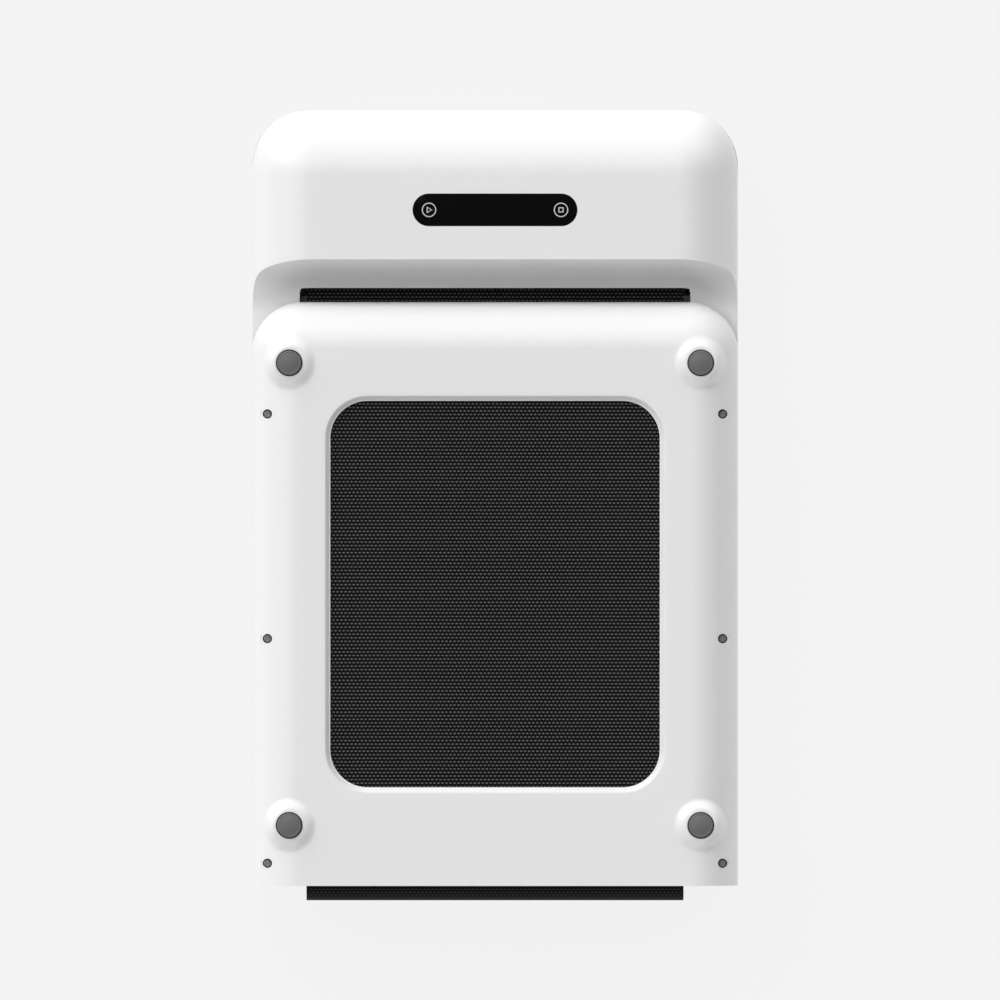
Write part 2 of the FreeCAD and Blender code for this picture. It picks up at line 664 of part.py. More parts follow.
def head_cover():
    outer = head_block(0.0).common(head_side_profile(0.0))
    inner = head_block(WALL).common(head_side_profile(WALL))
    skirts = [
        box(s * WELL_HALF, s * (WELL_HALF + WALL), STUB_Y, along(FRONT_BEAM_END),
            SEAM_Z, HEAD_TOP_Z).common(outer)
        for s in SIDES
    ]
    pillars = [screw_pillar(s * SCREW_X, FRONT_SCREW_V[-1], HEAD_TOP_Z) for s in SIDES]
    slot = box(
        -WELL_HALF, WELL_HALF, STUB_Y - 1, HEAD_REAR_Y + 5, SEAM_Z - 5, SLOT_TOP_Z
    )
    slot = fillet_where(
        slot, SLOT_CORNER_R, lambda b: b.ZMin > SLOT_TOP_Z - 0.1 and b.XLength < 0.1
    )
    opening = pill(DISPLAY_LENGTH, DISPLAY_WIDTH, DISPLAY_Y, HEAD_TOP_Z - WALL - 1,
                   HEAD_TOP_Z + 1, DISPLAY_FIT)
    cover = outer.cut(inner).fuse(skirts)
    cover = cover.fuse([p[0].common(outer) for p in pillars])
    deck_room = over_deck(STUB_Y - 1, along(FRONT_DECK_END) + FRAME_CLEAR)
    return cover.cut([slot, opening, deck_room] + [p[1] for p in pillars])


# ---- display ----------------------------------------------------------------------------

DISPLAY_FLANGE = 3.0
DISPLAY_FLANGE_T = 1.5


def display_window():
    """Black lens, flush with the head, held from inside by a flange."""
    under = HEAD_TOP_Z - WALL
    lens = pill(DISPLAY_LENGTH, DISPLAY_WIDTH, DISPLAY_Y, under, HEAD_TOP_Z)
    flange = pill(DISPLAY_LENGTH, DISPLAY_WIDTH, DISPLAY_Y, under - DISPLAY_FLANGE_T, under,
                  DISPLAY_FLANGE)
    return lens.fuse(flange).removeSplitter()


def display_board():
    """Circuit board with the digit block and two spacers up to the lens."""
    under = HEAD_TOP_Z - WALL - DISPLAY_FLANGE_T
    gap, thickness = 4.0, 1.6
    half_x, half_y = DISPLAY_LENGTH / 2 - 8, DISPLAY_WIDTH / 2 - 4
    board = box(-half_x, half_x, DISPLAY_Y - half_y, DISPLAY_Y + half_y,
                under - gap - thickness, under - gap)
    digits = box(-32, 32, DISPLAY_Y - 8, DISPLAY_Y + 8, under - gap, under - 0.5)
    spacers = [rod_z(s * (half_x - 5), DISPLAY_Y, under - gap, under, 2.5) for s in SIDES]
    return board.fuse([digits] + spacers)


# ---- frames and decks -------------------------------------------------------------------

def hollow_beam(x0, x1, y0, y1, z0, z1, lengthwise):
    """Square steel tube, open at both ends."""
    w = BEAM_WALL
    low, high = sorted((x0, x1))
    if lengthwise:
        core = box(low + w, high - w, y0 - 1, y1 + 1, z0 + w, z1 - w)
    else:
        core = box(low - 1, high + 1, y0 + w, y1 - w, z0 + w, z1 - w)
    return box(low, high, y0, y1, z0, z1).cut(core)


def shell_floor_z(x):
    """Height of the bottom cover's inner face beside the middle of a half."""
    over = max(0.0, x - (WIDTH_HALF - EDGE_R))
    radius = EDGE_R - WALL
    return SEAM_Z - math.sqrt(max(radius * radius - over * over, 0.0))


def beam_floor_z():
    return max(BEAM_TOP_Z - BEAM_HEIGHT, shell_floor_z(BEAM_X1) + 1.0)


def ladder(v0, v1, cross_v):
    """Two side beams and the cross beams that run inside the belt's loop."""
    pieces = []
    for s in SIDES:
        pieces.append(
            hollow_beam(s * BEAM_X0, s * BEAM_X1, along(v0), along(v1),
                        beam_floor_z(), BEAM_TOP_Z, True)
        )
    for v in cross_v:
        pieces.append(
            hollow_beam(-BEAM_X0, BEAM_X0, along(v) - CROSS_WIDTH / 2, along(v) + CROSS_WIDTH / 2,
                        BEAM_TOP_Z - CROSS_HEIGHT, BEAM_TOP_Z, False)
        )
    return pieces


def beam_screw_holes():
    return [
        rod_z(x, y, BEAM_TOP_Z - BEAM_WALL - 1, BEAM_TOP_Z + 1, DECK_SCREW_R + FIT)
        for x, y in deck_screw_spots()
    ]


def front_frame():
    """Welded frame: ladder, cheek plates that carry the roller, and the motor's base plate."""
    beams = ladder(FRAME_START, FRONT_BEAM_END, CROSS_V)
    cheek_y0, cheek_y1 = along(FRONT_DECK_END + SEAM), along(BASE_PLATE_V1)
    cheek_z0 = BASE_PLATE_Z + PLATE_T
    cheeks, holes = [], []
    for s in SIDES:
        x0, x1 = s * SIDE_PLATE_X, s * (SIDE_PLATE_X + PLATE_T)
        cheeks.append(box(x0, x1, cheek_y0, cheek_y1, cheek_z0, SEAM_Z + 3))
        holes.append(rod_x(x0, x1, along(FRONT_ROLLER_V), ROLLER_Z, SHAFT_R + FIT))
    reach = SIDE_PLATE_X + PLATE_T
    base = box(-reach, reach, along(BASE_PLATE_V0), cheek_y1, BASE_PLATE_Z, cheek_z0)
    frame = beams[0].fuse(beams[1:] + cheeks + [base])
    return frame.cut(holes + beam_screw_holes()).removeSplitter()


def rear_frame():
    """Welded frame: ladder, and tail plates that carry the roller."""
    v0, v1 = REAR_DECK_END + 3.0, REAR_LENGTH - TENSION_FROM_TAIL
    beams = ladder(FRAME_START, v0 + 10.0, CROSS_V)
    lugs, slots = [], []
    for s in SIDES:
        x0, x1 = s * TAIL_PLATE_X, s * (TAIL_PLATE_X + PLATE_T)
        lugs.append(box(x0, x1, along(v0), along(v1), ROLLER_Z - 9, BEAM_TOP_Z + 14))
        lugs.append(
            box(s * (ROLLER_HALF + 1), x1, along(v1 - PLATE_T), along(v1),
                ROLLER_Z - 9, BEAM_TOP_Z + 14)
        )
        y = along(REAR_ROLLER_V)
        reach, height = SHAFT_R + TENSION_TRAVEL, SHAFT_R + FIT
        slots.append(
            box(x0 - s, x1 + s, y - reach, along(v1) - PLATE_T, ROLLER_Z - height, ROLLER_Z + height)
        )
        slots.append(rod_y(s * bolt_x(), along(v1) - 8, along(v1) + 1, ROLLER_Z, TENSION_R + FIT))
    frame = beams[0].fuse(beams[1:] + lugs)
    return frame.cut(slots + beam_screw_holes()).removeSplitter()


def deck_screw_x():
    return (BEAM_X0 + BEAM_X1) / 2


def deck(end_v):
    """Walking board, notched at the fold for the hinges, with countersunk holes."""
    board = box(-DECK_HALF, DECK_HALF, along(DECK_START), along(end_v), DECK_Z, DECK_TOP_Z)
    cuts = [
        box(s * (HINGE_X - HINGE_ROOM), s * (DECK_HALF + 1), along(0),
            along(HINGE_REACH + 2), DECK_Z - 1, DECK_TOP_Z + 1)
        for s in SIDES
    ]
    for x, y in deck_screw_spots():
        cuts.append(rod_z(x, y, DECK_Z - 1, DECK_TOP_Z + 1, DECK_SCREW_R + FIT))
        cuts.append(countersink(x, y))
    return board.cut(cuts)


def deck_screw_spots():
    return [(s * deck_screw_x(), along(v)) for v in DECK_SCREW_V for s in SIDES]


def countersink(x, y):
    drop = DECK_SCREW_HEAD_R - DECK_SCREW_R
    return Part.makeCone(
        DECK_SCREW_R, DECK_SCREW_HEAD_R, drop, Vector(x, y, DECK_TOP_Z - drop), Z_AXIS
    )


def deck_screws():
    screws = []
    for x, y in deck_screw_spots():
        shank = rod_z(x, y, BEAM_TOP_Z - 8, DECK_TOP_Z, DECK_SCREW_R)
        socket = rod_z(x, y, DECK_TOP_Z - 1.8, DECK_TOP_Z + 1, SOCKET_R)
        screws.append(shank.fuse(countersink(x, y)).cut(socket))
    return Part.makeCompound(screws)


def deck_isolators():
    """Rubber rings between the deck and the beams."""
    return Part.makeCompound(
        [
            rod_z(x, y, BEAM_TOP_Z, DECK_Z, ISOLATOR_R).cut(
                rod_z(x, y, BEAM_TOP_Z, DECK_Z, DECK_SCREW_R + FIT)
            )
            for x, y in deck_screw_spots()
        ]
    )


# ---- hinges -----------------------------------------------------------------------------

def hinge_arm(x0, x1):
    """One ear or lug: an eye round the pin, a neck, and an arm down to the bracket's foot."""
    eye = rod_x(x0, x1, FOLD_Y, HINGE_Z, KNUCKLE_R)
    low = BEAM_TOP_Z
    neck = box(x0, x1, along(END_GAP), along(HINGE_NECK), low, HINGE_Z)
    arm = box(x0, x1, along(END_GAP), along(HINGE_REACH), low, SEAM_Z + 1.0)
    return eye.fuse([neck, arm])


def hinge_bracket(side, arms):
    foot = box(
        side * (BEAM_X0 + 2), side * (HINGE_X + HINGE_HALF), along(FRAME_START), along(HINGE_REACH),
        BEAM_TOP_Z, BEAM_TOP_Z + PLATE_T,
    )
    bracket = foot.fuse([hinge_arm(side * a, side * b) for a, b in arms])
    bore = rod_x(
        side * (HINGE_X - HINGE_HALF), side * (HINGE_X + HINGE_HALF), FOLD_Y, HINGE_Z, PIN_R + FIT
    )
    return bracket.cut(bore).removeSplitter()


def hinge_clevis(side):
    inner, outer = LUG_T / 2 + EAR_GAP, HINGE_HALF
    return hinge_bracket(
        side, [(HINGE_X - outer, HINGE_X - inner), (HINGE_X + inner, HINGE_X + outer)]
    )


def hinge_lug(side):
    return hinge_bracket(side, [(HINGE_X - LUG_T / 2, HINGE_X + LUG_T / 2)])


def hinge_pins():
    head_r, reach = KNUCKLE_R - 1.0, HINGE_HALF + PIN_PLAY
    pins = []
    for s in SIDES:
        inner, outer = s * (HINGE_X - reach), s * (HINGE_X + reach)
        pin = rod_x(inner, outer, FOLD_Y, HINGE_Z, PIN_R)
        caps = [
            rod_x(inner - s * PIN_HEAD_T, inner, FOLD_Y, HINGE_Z, head_r),
            rod_x(outer, outer + s * PIN_HEAD_T, FOLD_Y, HINGE_Z, head_r),
        ]
        pins.append(pin.fuse(caps))
    return Part.makeCompound(pins)


# ---- running belt -----------------------------------------------------------------------

def belt_run(roller_v):
    """The belt's stretch on one half: top run, round the roller, and back underneath."""
    y0, yr = FOLD_Y, along(roller_v)
    lining = ROLLER_R + BELT_ROLLER_GAP
    outer = lining + BELT_T
    return prism_x(
        [
            (y0, ROLLER_Z + outer),
            (yr, ROLLER_Z + outer),
            ((yr + outer, ROLLER_Z), (yr, ROLLER_Z - outer)),
            (y0, ROLLER_Z - outer),
            (y0, ROLLER_Z - lining),
            (yr, ROLLER_Z - lining),
            ((yr + lining, ROLLER_Z), (yr, ROLLER_Z + lining)),
            (y0, ROLLER_Z + lining),
        ],
        -BELT_WIDTH / 2,
        BELT_WIDTH / 2,
    )


def belt_inner_fold():
    """The top run's tight turn between the folded halves."""
    near = HINGE_Z - BELT_TOP_Z
    far = near + BELT_T
    return prism_x(
        [
            (FOLD_Y, HINGE_Z - far),
            ((FOLD_Y - far, HINGE_Z), (FOLD_Y, HINGE_Z + far)),
            (FOLD_Y, HINGE_Z + near),
            ((FOLD_Y - near, HINGE_Z), (FOLD_Y, HINGE_Z - near)),
        ],
        -BELT_WIDTH / 2,
        BELT_WIDTH / 2,
    )


def belt_outer_fold():
    """The lower run's wide turn round the outside of the fold."""
    half = HINGE_Z - LOWER_RUN_Z
    slack = math.sqrt(0.5)

    def corner(radius, reach, sign):
        """Mid and end points of a quarter arc out of the run, on the lower or upper side."""
        edge_z = HINGE_Z + sign * reach
        cy = FOLD_Y - BELT_BULGE + radius_out
        cz = edge_z - sign * radius
        return (cy - radius * slack, cz + sign * radius * slack), (cy - radius, cz)

    radius_out = BELT_BULGE
    radius_in = radius_out - BELT_T
    half_in = half - BELT_T
    low_mid, low_end = corner(radius_out, half, -1)
    high_mid, high_end = corner(radius_out, half, 1)
    low_mid_in, low_end_in = corner(radius_in, half_in, -1)
    high_mid_in, high_end_in = corner(radius_in, half_in, 1)
    return prism_x(
        [
            (FOLD_Y, HINGE_Z - half),
            (low_mid, low_end),
            high_end,
            (high_mid, (FOLD_Y, HINGE_Z + half)),
            (FOLD_Y, HINGE_Z + half_in),
            (high_mid_in, high_end_in),
            low_end_in,
            (low_mid_in, (FOLD_Y, HINGE_Z - half_in)),
        ],
        -BELT_WIDTH / 2,
        BELT_WIDTH / 2,
    )


# ---- rollers ----------------------------------------------------------------------------

def bolt_x():
    """Middle of a tension bolt, between the roller's end and its tail plate."""
    return (ROLLER_HALF + TAIL_PLATE_X) / 2


def roller_tube(roller_v):
    tube = ring_x(-ROLLER_HALF, ROLLER_HALF, along(roller_v), ROLLER_Z,
                  ROLLER_R, ROLLER_R - ROLLER_WALL)
    return fillet_where(
        tube, 1.0,
        lambda b: abs(b.ZLength - 2 * ROLLER_R) < 0.1 and b.XLength < 0.1,
    )


def roller_bearings(roller_v):
    """Ball bearings, one in each end of a roller, shown shielded."""
    y, inset, groove = along(roller_v), 2.0, 0.8
    outer, inner = ROLLER_R - ROLLER_WALL, SHAFT_R + FIT
    rings = []
    for s in SIDES:
        x1 = s * (ROLLER_HALF - inset)
        x0 = s * (ROLLER_HALF - inset - BEARING_WIDTH)
        ring = ring_x(x0, x1, y, ROLLER_Z, outer, inner)
        shields = [
            ring_x(x1 - s * groove, x1, y, ROLLER_Z, outer - 2.5, inner + 2.5),
            ring_x(x0, x0 + s * groove, y, ROLLER_Z, outer - 2.5, inner + 2.5),
        ]
        rings.append(ring.cut(shields))
    return Part.makeCompound(rings)


def ribbed_wheel(y, z, radius, bore):
    """Pulley with ribs round its rim and a low flange at each side."""
    pitch = (PULLEY_WIDTH - 2.0) / RIBS
    body = ring_x(PULLEY_X0, PULLEY_X1, y, z, radius, bore)
    grooves = []
    for n in range(RIBS):
        x = PULLEY_X0 + 1.0 + (n + 0.5) * pitch
        half = pitch * 0.36
        left = Part.makeCone(radius + 0.1, radius - RIB_DEPTH, half, Vector(x - half, y, z), X_AXIS)
        right = Part.makeCone(radius - RIB_DEPTH, radius + 0.1, half, Vector(x, y, z), X_AXIS)
        core = rod_x(x - half, x + half, y, z, radius - RIB_DEPTH)
        band = rod_x(x - half, x + half, y, z, radius + 1).cut([left, right, core])
        grooves.append(band)
    return body.cut(grooves)


def front_roller_pulley():
    return ribbed_wheel(along(FRONT_ROLLER_V), ROLLER_Z, ROLLER_PULLEY_R, SHAFT_R + 1.5)


def front_roller_shaft():
    reach = SIDE_PLATE_X + PLATE_T + 1.0
    return rod_x(-reach, reach, along(FRONT_ROLLER_V), ROLLER_Z, SHAFT_R)


def rear_roller_shaft():
    """Fixed shaft, cross-drilled for the tension bolts."""
    y, reach = along(REAR_ROLLER_V), TAIL_PLATE_X + PLATE_T + 1.0
    shaft = rod_x(-reach, reach, y, ROLLER_Z, SHAFT_R)
    holes = [
        rod_y(s * bolt_x(), y - SHAFT_R - 1, y + SHAFT_R + 1, ROLLER_Z, TENSION_R + FIT)
        for s in SIDES
    ]
    return shaft.cut(holes)


def tension_bolts():
    """Bolts that pull the rear roller towards the tail, with hexagon sockets."""
    y0, y1 = along(REAR_ROLLER_V) - SHAFT_R - 4, along(REAR_LENGTH - TENSION_FROM_TAIL)
    bolts = []
    for s in SIDES:
        shank = rod_y(s * bolt_x(), y0, y1, ROLLER_Z, TENSION_R)
        head = rod_y(s * bolt_x(), y1, y1 + 6.0, ROLLER_Z, TENSION_HEAD_R)
        socket = Part.makePolygon(
            [
                Vector(s * bolt_x() + 2.9 * math.cos(math.radians(60 * n)), y1 + 2.5,
                       ROLLER_Z + 2.9 * math.sin(math.radians(60 * n)))
                for n in range(7)
            ]
        )
        socket = Part.Face(socket).extrude(Vector(0, 5, 0))
        bolts.append(shank.fuse(head).cut(socket))
    return Part.makeCompound(bolts)


# ---- motor ------------------------------------------------------------------------------

MOTOR_X1 = MOTOR_PLATE_X
MOTOR_X0 = MOTOR_X1 - MOTOR_LENGTH


def motor_housing():
    y = along(MOTOR_V)
    can = rod_x(MOTOR_X0, MOTOR_X1, y, MOTOR_Z, MOTOR_R)
    can = fillet_where(can, 4.0, lambda b: b.XMax < MOTOR_X0 + 0.1 and b.YLength > 1)
    cavity = rod_x(MOTOR_X0 + MOTOR_WALL, MOTOR_X1 - MOTOR_WALL, y, MOTOR_Z, MOTOR_R - MOTOR_WALL)
    bore = rod_x(MOTOR_X0 + 1, MOTOR_X1 + 1, y, MOTOR_Z, MOTOR_SHAFT_R + FIT)
    slots = []
    for n in range(6):
        slot = box(MOTOR_X0 + 10, MOTOR_X0 + 28, y - 4, y + 4, MOTOR_Z + MOTOR_R - 6, MOTOR_Z + MOTOR_R + 1)
        slot.rotate(Vector(0, y, MOTOR_Z), X_AXIS, 60 * n + 30)
        slots.append(slot)
    fins = [
        ring_x(MOTOR_X0 + 40 + 8 * n, MOTOR_X0 + 43 + 8 * n, y, MOTOR_Z, MOTOR_R + 1, MOTOR_R - 1.2)
        for n in range(9)
    ]
    return can.cut([cavity, bore] + slots + fins)


def motor_rotor():
    """Shaft with the wound armature and the commutator."""
    y = along(MOTOR_V)
    shaft = rod_x(MOTOR_X0 + 2, PULLEY_X1 + 3, y, MOTOR_Z, MOTOR_SHAFT_R)
    armature = rod_x(MOTOR_X0 + 34, MOTOR_X1 - 18, y, MOTOR_Z, ARMATURE_R)
    commutator = rod_x(MOTOR_X0 + 14, MOTOR_X0 + 30, y, MOTOR_Z, 12.0)
    return shaft.fuse([armature, commutator])


def flywheel():
    x0 = MOTOR_PLATE_X + PLATE_T + 3.5
    y = along(MOTOR_V)
    wheel = ring_x(x0, x0 + FLYWHEEL_T, y, MOTOR_Z, FLYWHEEL_R, MOTOR_SHAFT_R)
    holes = []
    for n in range(6):
        angle = math.radians(60 * n)
        holes.append(
            rod_x(x0, x0 + FLYWHEEL_T, y + 21 * math.cos(angle), MOTOR_Z + 21 * math.sin(angle), 5.0)
        )
    return wheel.cut(holes)


def motor_pulley():
    return ribbed_wheel(along(MOTOR_V), MOTOR_Z, MOTOR_PULLEY_R, MOTOR_SHAFT_R)


def motor_bolt_spots():
    radius = MOTOR_R - 8.0
    angles = [math.radians(45 + 90 * n) for n in range(4)]
    return [(along(MOTOR_V) + radius * math.cos(a), MOTOR_Z + radius * math.sin(a)) for a in angles]


def motor_bracket():
    """Bent plate that the motor bolts to, standing on the base plate."""
    y, z0 = along(MOTOR_V), BASE_PLATE_Z + PLATE_T
    x0, x1 = MOTOR_PLATE_X, MOTOR_PLATE_X + PLATE_T
    half = MOTOR_R - 10.0
    wall = box(x0, x1, y - half, y + half, z0, MOTOR_Z)
    wall = wall.fuse(rod_x(x0, x1, y, MOTOR_Z, MOTOR_R))
    foot = box(x0 - 56, x1, y - half, y + half, z0, z0 + PLATE_T)
    holes = [rod_x(x0 - 1, x1 + 1, y, MOTOR_Z, 14.0)]
    holes += [rod_x(x0 - 1, x1 + 1, by, bz, 3.0 + FIT) for by, bz in motor_bolt_spots()]
    return wall.fuse(foot).cut(holes)


def motor_bolts():
    """Four bolts through the bracket; their tips end inside the motor's face."""
    bolts = []
    x0 = MOTOR_PLATE_X
    for y, z in motor_bolt_spots():
        head = rod_x(x0 + PLATE_T, x0 + PLATE_T + 3.0, y, z, 4.8)
        shank = rod_x(x0, x0 + PLATE_T, y, z, 3.0)
        bolts.append(head.fuse(shank))
    return Part.makeCompound(bolts)


def drive_belt():
    args = (along(FRONT_ROLLER_V), ROLLER_Z, along(MOTOR_V), MOTOR_Z)

    def hull(grow):
        y1, z1, y2, z2 = args
        return loop_hull(y1, z1, ROLLER_PULLEY_R + grow, y2, z2, MOTOR_PULLEY_R + grow,
                         PULLEY_X0 + 1.0, PULLEY_X1 - 1.0)

    return hull(DRIVE_BELT_GAP + DRIVE_BELT_T).cut(hull(DRIVE_BELT_GAP))


# ---- controller -------------------------------------------------------------------------

BOARD_LENGTH = 160.0
BOARD_SIDE_GAP = 19.0       # board to the frame's cheek plate
BOARD_X = (BOARD_SIDE_GAP - SIDE_PLATE_X, BOARD_SIDE_GAP - SIDE_PLATE_X + BOARD_LENGTH)
BOARD_V = (BASE_PLATE_V0 + 3.0, BASE_PLATE_V1 - 12.0)
BOARD_Z = BASE_PLATE_Z + PLATE_T + 6.0
BOARD_T = 1.6


def controller_board():
    y0, y1 = (along(v) for v in BOARD_V)
    board = box(BOARD_X[0], BOARD_X[1], y0, y1, BOARD_Z, BOARD_Z + BOARD_T)
    posts = [
        rod_z(x, y, BASE_PLATE_Z + PLATE_T, BOARD_Z, 3.0)
        for x in (BOARD_X[0] + 6, BOARD_X[1] - 6)
        for y in (y0 + 6, y1 - 6)
    ]
    return board.fuse(posts)


def controller_heatsink():
    """Finned block on the power transistors."""
    y0, y1 = along(BOARD_V[0] + 6), along(BOARD_V[1] - 6)
    x0 = BOARD_X[1] - 62.0
    z0 = BOARD_Z + BOARD_T + 4.0
    base = box(x0, x0 + 54, y0, y1, z0, z0 + 5)
    fins = [box(x0 + 6.5 * n, x0 + 6.5 * n + 2, y0, y1, z0 + 5, z0 + 30) for n in range(9)]
    legs = [box(x0 + 4, x0 + 8, y0 + 2, y1 - 2, BOARD_Z + BOARD_T, z0),
            box(x0 + 46, x0 + 50, y0 + 2, y1 - 2, BOARD_Z + BOARD_T, z0)]
    return base.fuse(fins + legs)


def controller_components():
    """Capacitors, transformer, relay and connectors on the board."""
    z0 = BOARD_Z + BOARD_T
    y0, y1 = (along(v) for v in BOARD_V)
    cans = [rod_z(BOARD_X[0] + 78, y0 + 16 + 30 * n, z0, z0 + 34, 11.0) for n in range(2)]
    coil = box(BOARD_X[0] + 30, BOARD_X[0] + 60, y0 + 8, y0 + 34, z0, z0 + 26)
    relay = box(BOARD_X[0] + 36, BOARD_X[0] + 56, y1 - 22, y1 - 6, z0, z0 + 16)
    plugs = [
        box(BOARD_X[0] + 5, BOARD_X[0] + 17, y0 + 12 + 16 * n, y0 + 24 + 16 * n, z0, z0 + 10)
        for n in range(3)
    ]
    return Part.makeCompound(cans + [coil, relay] + plugs)


# ---- mains panel ------------------------------------------------------------------------

PANEL_T = 2.0
INLET_X = PANEL_X - 20.0
SWITCH_X = PANEL_X + 22.0
PANEL_MID_Z = PANEL_Z0 + PANEL_HEIGHT / 2


def mains_panel():
    x0, x1 = PANEL_X - PANEL_WIDTH / 2 + DISPLAY_FIT, PANEL_X + PANEL_WIDTH / 2 - DISPLAY_FIT
    plate = box(x0, x1, PANEL_Y - PANEL_T, PANEL_Y, PANEL_Z0 + DISPLAY_FIT,
                PANEL_Z0 + PANEL_HEIGHT - DISPLAY_FIT)
    holes = []
    for x, w, h in ((INLET_X, INLET_WIDTH, INLET_HEIGHT), (SWITCH_X, SWITCH_WIDTH, SWITCH_HEIGHT)):
        w, h = w - 2.0, h - 2.0
        holes.append(
            box(x - w / 2, x + w / 2, PANEL_Y - PANEL_T - 1, PANEL_Y + 1,
                PANEL_MID_Z - h / 2, PANEL_MID_Z + h / 2)
        )
    return plate.cut(holes)


def flanged_body(x, width, height, depth):
    """Snap-in body: a thin flange on the panel and a narrower box behind it."""
    flange_t, shrink = 1.2, 1.0 + DISPLAY_FIT
    z = PANEL_MID_Z
    flange = box(x - width / 2, x + width / 2, PANEL_Y, PANEL_Y + flange_t,
                 z - height / 2, z + height / 2)
    body = box(x - width / 2 + shrink, x + width / 2 - shrink, PANEL_Y - depth, PANEL_Y,
               z - height / 2 + shrink, z + height / 2 - shrink)
    return flange.fuse(body)


def mains_inlet():
    """Appliance inlet with a keyed socket and three pins."""
    body = flanged_body(INLET_X, INLET_WIDTH, INLET_HEIGHT, INLET_DEPTH)
    z, key = PANEL_MID_Z, 4.0
    w, h = INLET_WIDTH / 2 - 2.6, INLET_HEIGHT / 2 - 2.6
    outline = [(-w, -h), (w, -h), (w, h - key), (w - key, h), (-w + key, h), (-w, h - key), (-w, -h)]
    wire = Part.makePolygon([Vector(INLET_X + x, PANEL_Y + 2, z + dz) for x, dz in outline])
    socket = Part.Face(wire).extrude(Vector(0, -INLET_DEPTH + 4, 0))
    pins = [
        box(INLET_X + dx - 1, INLET_X + dx + 1, PANEL_Y - INLET_DEPTH + 2, PANEL_Y - 3,
            z + dz - 2, z + dz + 2)
        for dx, dz in ((-7, -2), (0, 2), (7, -2))
    ]
    return body.cut(socket).fuse(pins)


ROCKER_R = 11.0
ROCKER_WIDTH = SWITCH_WIDTH - 5.0
ROCKER_HEIGHT = SWITCH_HEIGHT - 5.0
ROCKER_Y = PANEL_Y - 5.0
ROCKER_CLEAR = 0.6


def switch_frame():
    body = flanged_body(SWITCH_X, SWITCH_WIDTH, SWITCH_HEIGHT, SWITCH_DEPTH)
    w, h = ROCKER_WIDTH / 2 + ROCKER_CLEAR, ROCKER_HEIGHT / 2 + ROCKER_CLEAR
    space = box(SWITCH_X - w, SWITCH_X + w, PANEL_Y - SWITCH_DEPTH + 3, PANEL_Y + 3,
                PANEL_MID_Z - h, PANEL_MID_Z + h)
    axle = rod_x(SWITCH_X - w - 1.5, SWITCH_X + w + 1.5, ROCKER_Y, PANEL_MID_Z, 1.5)
    return body.cut(space).fuse(axle)


def switch_rocker():
    """Paddle with a dished face that tips on the frame's axle; stored tipped to off."""
    w, h = ROCKER_WIDTH / 2, ROCKER_HEIGHT / 2
    tip_y, dish_y = PANEL_Y + 4.5, PANEL_Y + 2.6
    tilt_room = math.sin(math.radians(ROCKER_TILT_DEG)) * (tip_y - ROCKER_Y)
    h -= tilt_room
    paddle = prism_x(
        [
            (ROCKER_Y - 3.0, PANEL_MID_Z - h * 0.6),
            (PANEL_Y, PANEL_MID_Z - h),
            (tip_y, PANEL_MID_Z - h),
            ((dish_y, PANEL_MID_Z), (tip_y, PANEL_MID_Z + h)),
            (PANEL_Y, PANEL_MID_Z + h),
            (ROCKER_Y - 3.0, PANEL_MID_Z + h * 0.6),
        ],
        SWITCH_X - w,
        SWITCH_X + w,
    )
    bore = rod_x(SWITCH_X - w - 1, SWITCH_X + w + 1, ROCKER_Y, PANEL_MID_Z, 1.5 + FIT)
    paddle = paddle.cut(bore)
    paddle.rotate(Vector(SWITCH_X, ROCKER_Y, PANEL_MID_Z), X_AXIS, -ROCKER_TILT_DEG)
    return paddle


# ---- transport wheels -------------------------------------------------------------------

def wheel_hub(side):
    x, half = side * WHEEL_X, WHEEL_WIDTH / 2
    hub = ring_x(x - half, x + half, WHEEL_Y, WHEEL_Z, WHEEL_HUB_R, AXLE_R + FIT)
    dish = 2.5
    dishes = [
        ring_x(x - half, x - half + dish, WHEEL_Y, WHEEL_Z, WHEEL_HUB_R - 2, AXLE_R + 3),
        ring_x(x + half - dish, x + half, WHEEL_Y, WHEEL_Z, WHEEL_HUB_R - 2, AXLE_R + 3),
    ]
    return hub.cut(dishes)


def wheel_tyre(side):
    x, half = side * WHEEL_X, WHEEL_WIDTH / 2
    tyre = ring_x(x - half, x + half, WHEEL_Y, WHEEL_Z, WHEEL_R, WHEEL_HUB_R)
    return fillet_where(
        tyre, 3.0, lambda b: abs(b.ZLength - 2 * WHEEL_R) < 0.1 and b.XLength < 0.1
    )


def wheel_axles():
    reach = WHEEL_WIDTH / 2 + WHEEL_CLEAR + WALL
    return Part.makeCompound(
        [rod_x(s * WHEEL_X - reach, s * WHEEL_X + reach, WHEEL_Y, WHEEL_Z, AXLE_R) for s in SIDES]
    )


# ---- the whole machine ------------------------------------------------------------------

